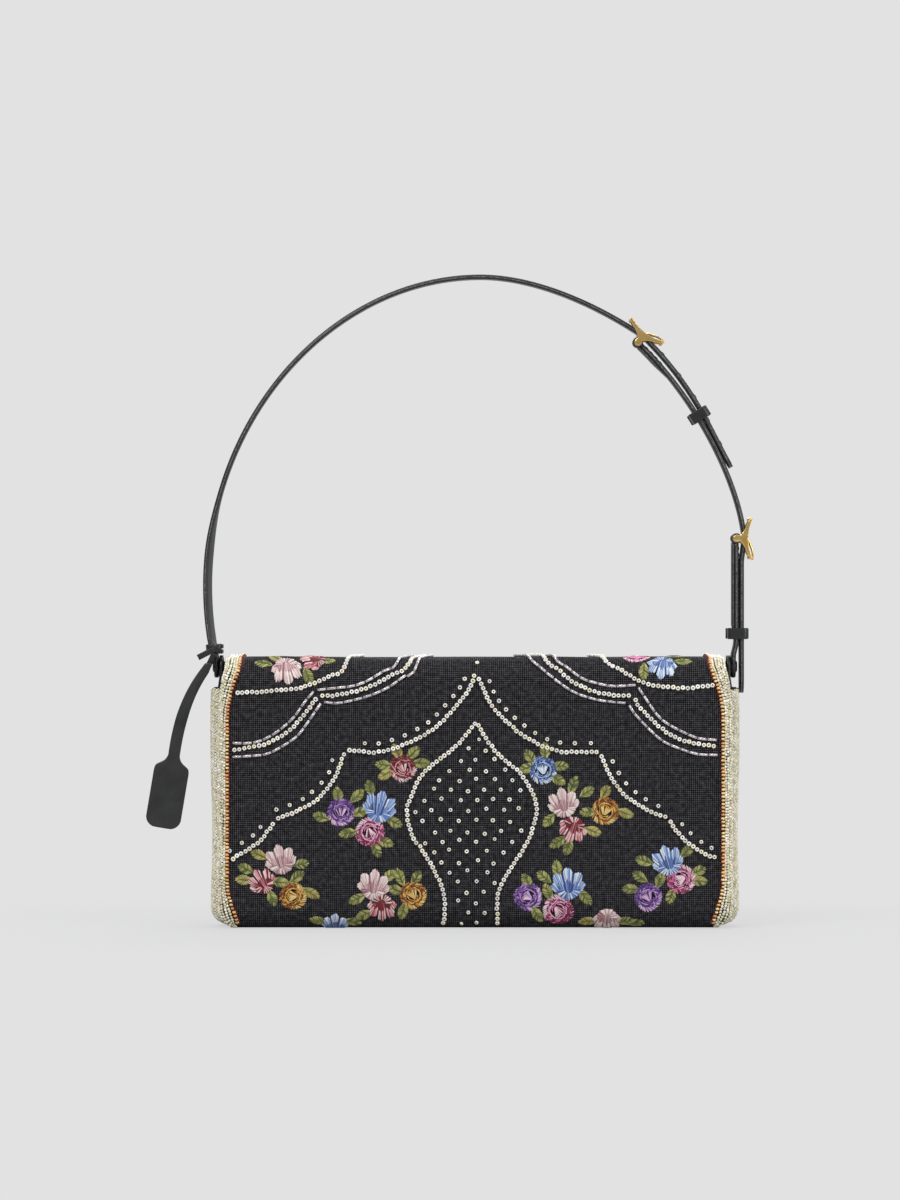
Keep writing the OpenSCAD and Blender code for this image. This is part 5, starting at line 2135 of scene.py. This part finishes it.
def split_by_ray(tree: bpy.types.NodeTree, real: tuple[str, dict], world: bool, seen: Colour,
                 keep: float) -> None:
    """Shows the camera a plain shade, while other rays meet the real surface.

    Args:
        tree: The nodes of a floor's material or of the world.
        real: The node that other rays meet, and its values.
        world: Whether the nodes are the world's.
        seen: The shade that the camera sees.
        keep: How much of the real surface the camera sees as well, close to the bag.
    """
    tree.nodes.clear()
    bench = Bench(tree)
    share = bench.node("ShaderNodeLightPath", {}, {}, "Is Camera Ray")
    if keep:
        reach = bench.node("ShaderNodeVectorMath", {"operation": "LENGTH"}, {0: bench.place()}, "Value")
        share = share * bench.node("ShaderNodeMapRange", {"interpolation_type": "SMOOTHSTEP"},
                                   {"Value": reach, "From Min": 0.12, "From Max": 0.42,
                                    "To Min": 1.0 - keep, "To Max": 1.0})
    surface = bench.node(real[0], {}, real[1])
    plain = bench.node("ShaderNodeBackground" if world else "ShaderNodeEmission", {}, {"Color": rgba(seen)})
    mix = bench.node("ShaderNodeMixShader", {}, {"Fac": share, 1: surface, 2: plain})
    bench.node("ShaderNodeOutputWorld" if world else "ShaderNodeOutputMaterial", {}, {"Surface": mix})


def stand(name: str, data: bpy.types.ID, place: Sequence[float]) -> Piece:
    """Stands a camera or a lamp at a place in metres."""
    made = bpy.data.objects.new(name, data)
    bpy.context.collection.objects.link(made)
    made.location = place
    return made


@dataclass
class Studio:
    """The camera, the pale floor and backdrop, and the soft lights.

    Args:
        lens: Focal length over the picture's long side, in mm.
        lamps: Each lamp's name, place and size in metres, and power in watts.
    """

    lens: float = 170.0
    sensor: float = 36.0
    picture_high: float = 1200.0
    aim: Triple = (-13.25, -28.3, 173.3)
    pitch: float = 0.527
    shade: Colour = linear(226, 226, 226)
    floor: Colour = (0.56, 0.56, 0.56)
    shadow: float = 0.24
    sky: Colour = (0.92, 0.96, 1.0)
    sky_power: float = 0.42
    lit_point: Triple = (0.0, 0.0, 0.12)
    lamps: tuple[tuple[str, Triple, float, float], ...] = (
        ("key", (-0.9, -1.5, 1.5), 0.9, 24.0), ("fill", (1.5, -1.2, 0.7), 1.2, 17.0),
        ("top", (0.1, 0.2, 1.9), 1.1, 14.0), ("rear", (0.3, 1.7, 1.0), 1.2, 12.0))

    def camera(self) -> None:
        """Stands the camera in front of the bag, level, as the photograph has it."""
        data = bpy.data.cameras.new("camera")
        data.sensor_fit = "VERTICAL"
        data.sensor_height = self.sensor
        data.lens = self.lens
        data.clip_end = 50.0
        away = self.picture_high * self.pitch * self.lens / self.sensor
        seat = stand("camera", data, Vector((self.aim[0], self.aim[1] - away, self.aim[2])) * MM)
        seat.rotation_euler = (math.pi / 2, 0, 0)
        bpy.context.scene.camera = seat

    def backdrop(self) -> None:
        """A floor whose shadows stay soft, and the same shade all round to the camera."""
        work = bmesh.new()
        bmesh.ops.create_grid(work, x_segments=1, y_segments=1, size=9000.0)
        paint = bpy.data.materials.new("floor")
        paint.use_nodes = True
        matt = {"Color": rgba(self.floor)}
        split_by_ray(paint.node_tree, ("ShaderNodeBsdfDiffuse", matt), False, self.shade, self.shadow)
        publish("floor", work, paint, False)
        world = bpy.data.worlds.new("studio")
        world.use_nodes = True
        sky = {"Color": rgba(self.sky), "Strength": self.sky_power}
        split_by_ray(world.node_tree, ("ShaderNodeBackground", sky), True, self.shade, 0.0)
        bpy.context.scene.world = world

    def build(self) -> None:
        """Builds the studio, with its square soft lights facing the bag."""
        self.camera()
        self.backdrop()
        for name, place, size, power in self.lamps:
            data = bpy.data.lights.new(name, "AREA")
            data.shape = "SQUARE"
            data.size = size
            data.energy = power
            way = Vector(place) - Vector(self.lit_point)
            stand(name, data, place).rotation_euler = way.to_track_quat("Z", "Y").to_euler()
        view = bpy.context.scene.view_settings
        view.view_transform = "Standard"
        view.look = "None"


# How much narrower each border is than the CAD's, so that its beads clear the strap as the flap opens.
BORDER_IN = 2.1


def main() -> None:
    """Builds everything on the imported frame."""
    logging.basicConfig(level=logging.INFO, format="%(message)s")
    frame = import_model()
    finishes = Finishes()
    Studio().build()
    half_w, _, front_top = (float(limit) for limit in corners("front_panel")[1])
    _, half_d, back_top = (float(limit) for limit in corners("back_panel")[1])
    end_x, _, end_top = (float(limit) for limit in corners("right_gusset")[1])
    flap_low, flap_high = corners("flap_shell")
    flap = FlapForm(half_w, float(flap_high[2]), -float(flap_low[1]), HINGE_Y,
                    float(corners("right_border")[1][0]) - BORDER_IN)
    body = BodyForm(half_d, front_top, back_top, half_w, end_top)
    ends = tuple(GussetForm(side, half_w, half_d, end_x, end_top) for side in (-1, 1))
    Case(finishes, body, ends).build()
    Flap(finishes, flap).build()
    Straps(finishes).build()
    Tag(finishes).build()


if __name__ == "__main__":
    main()
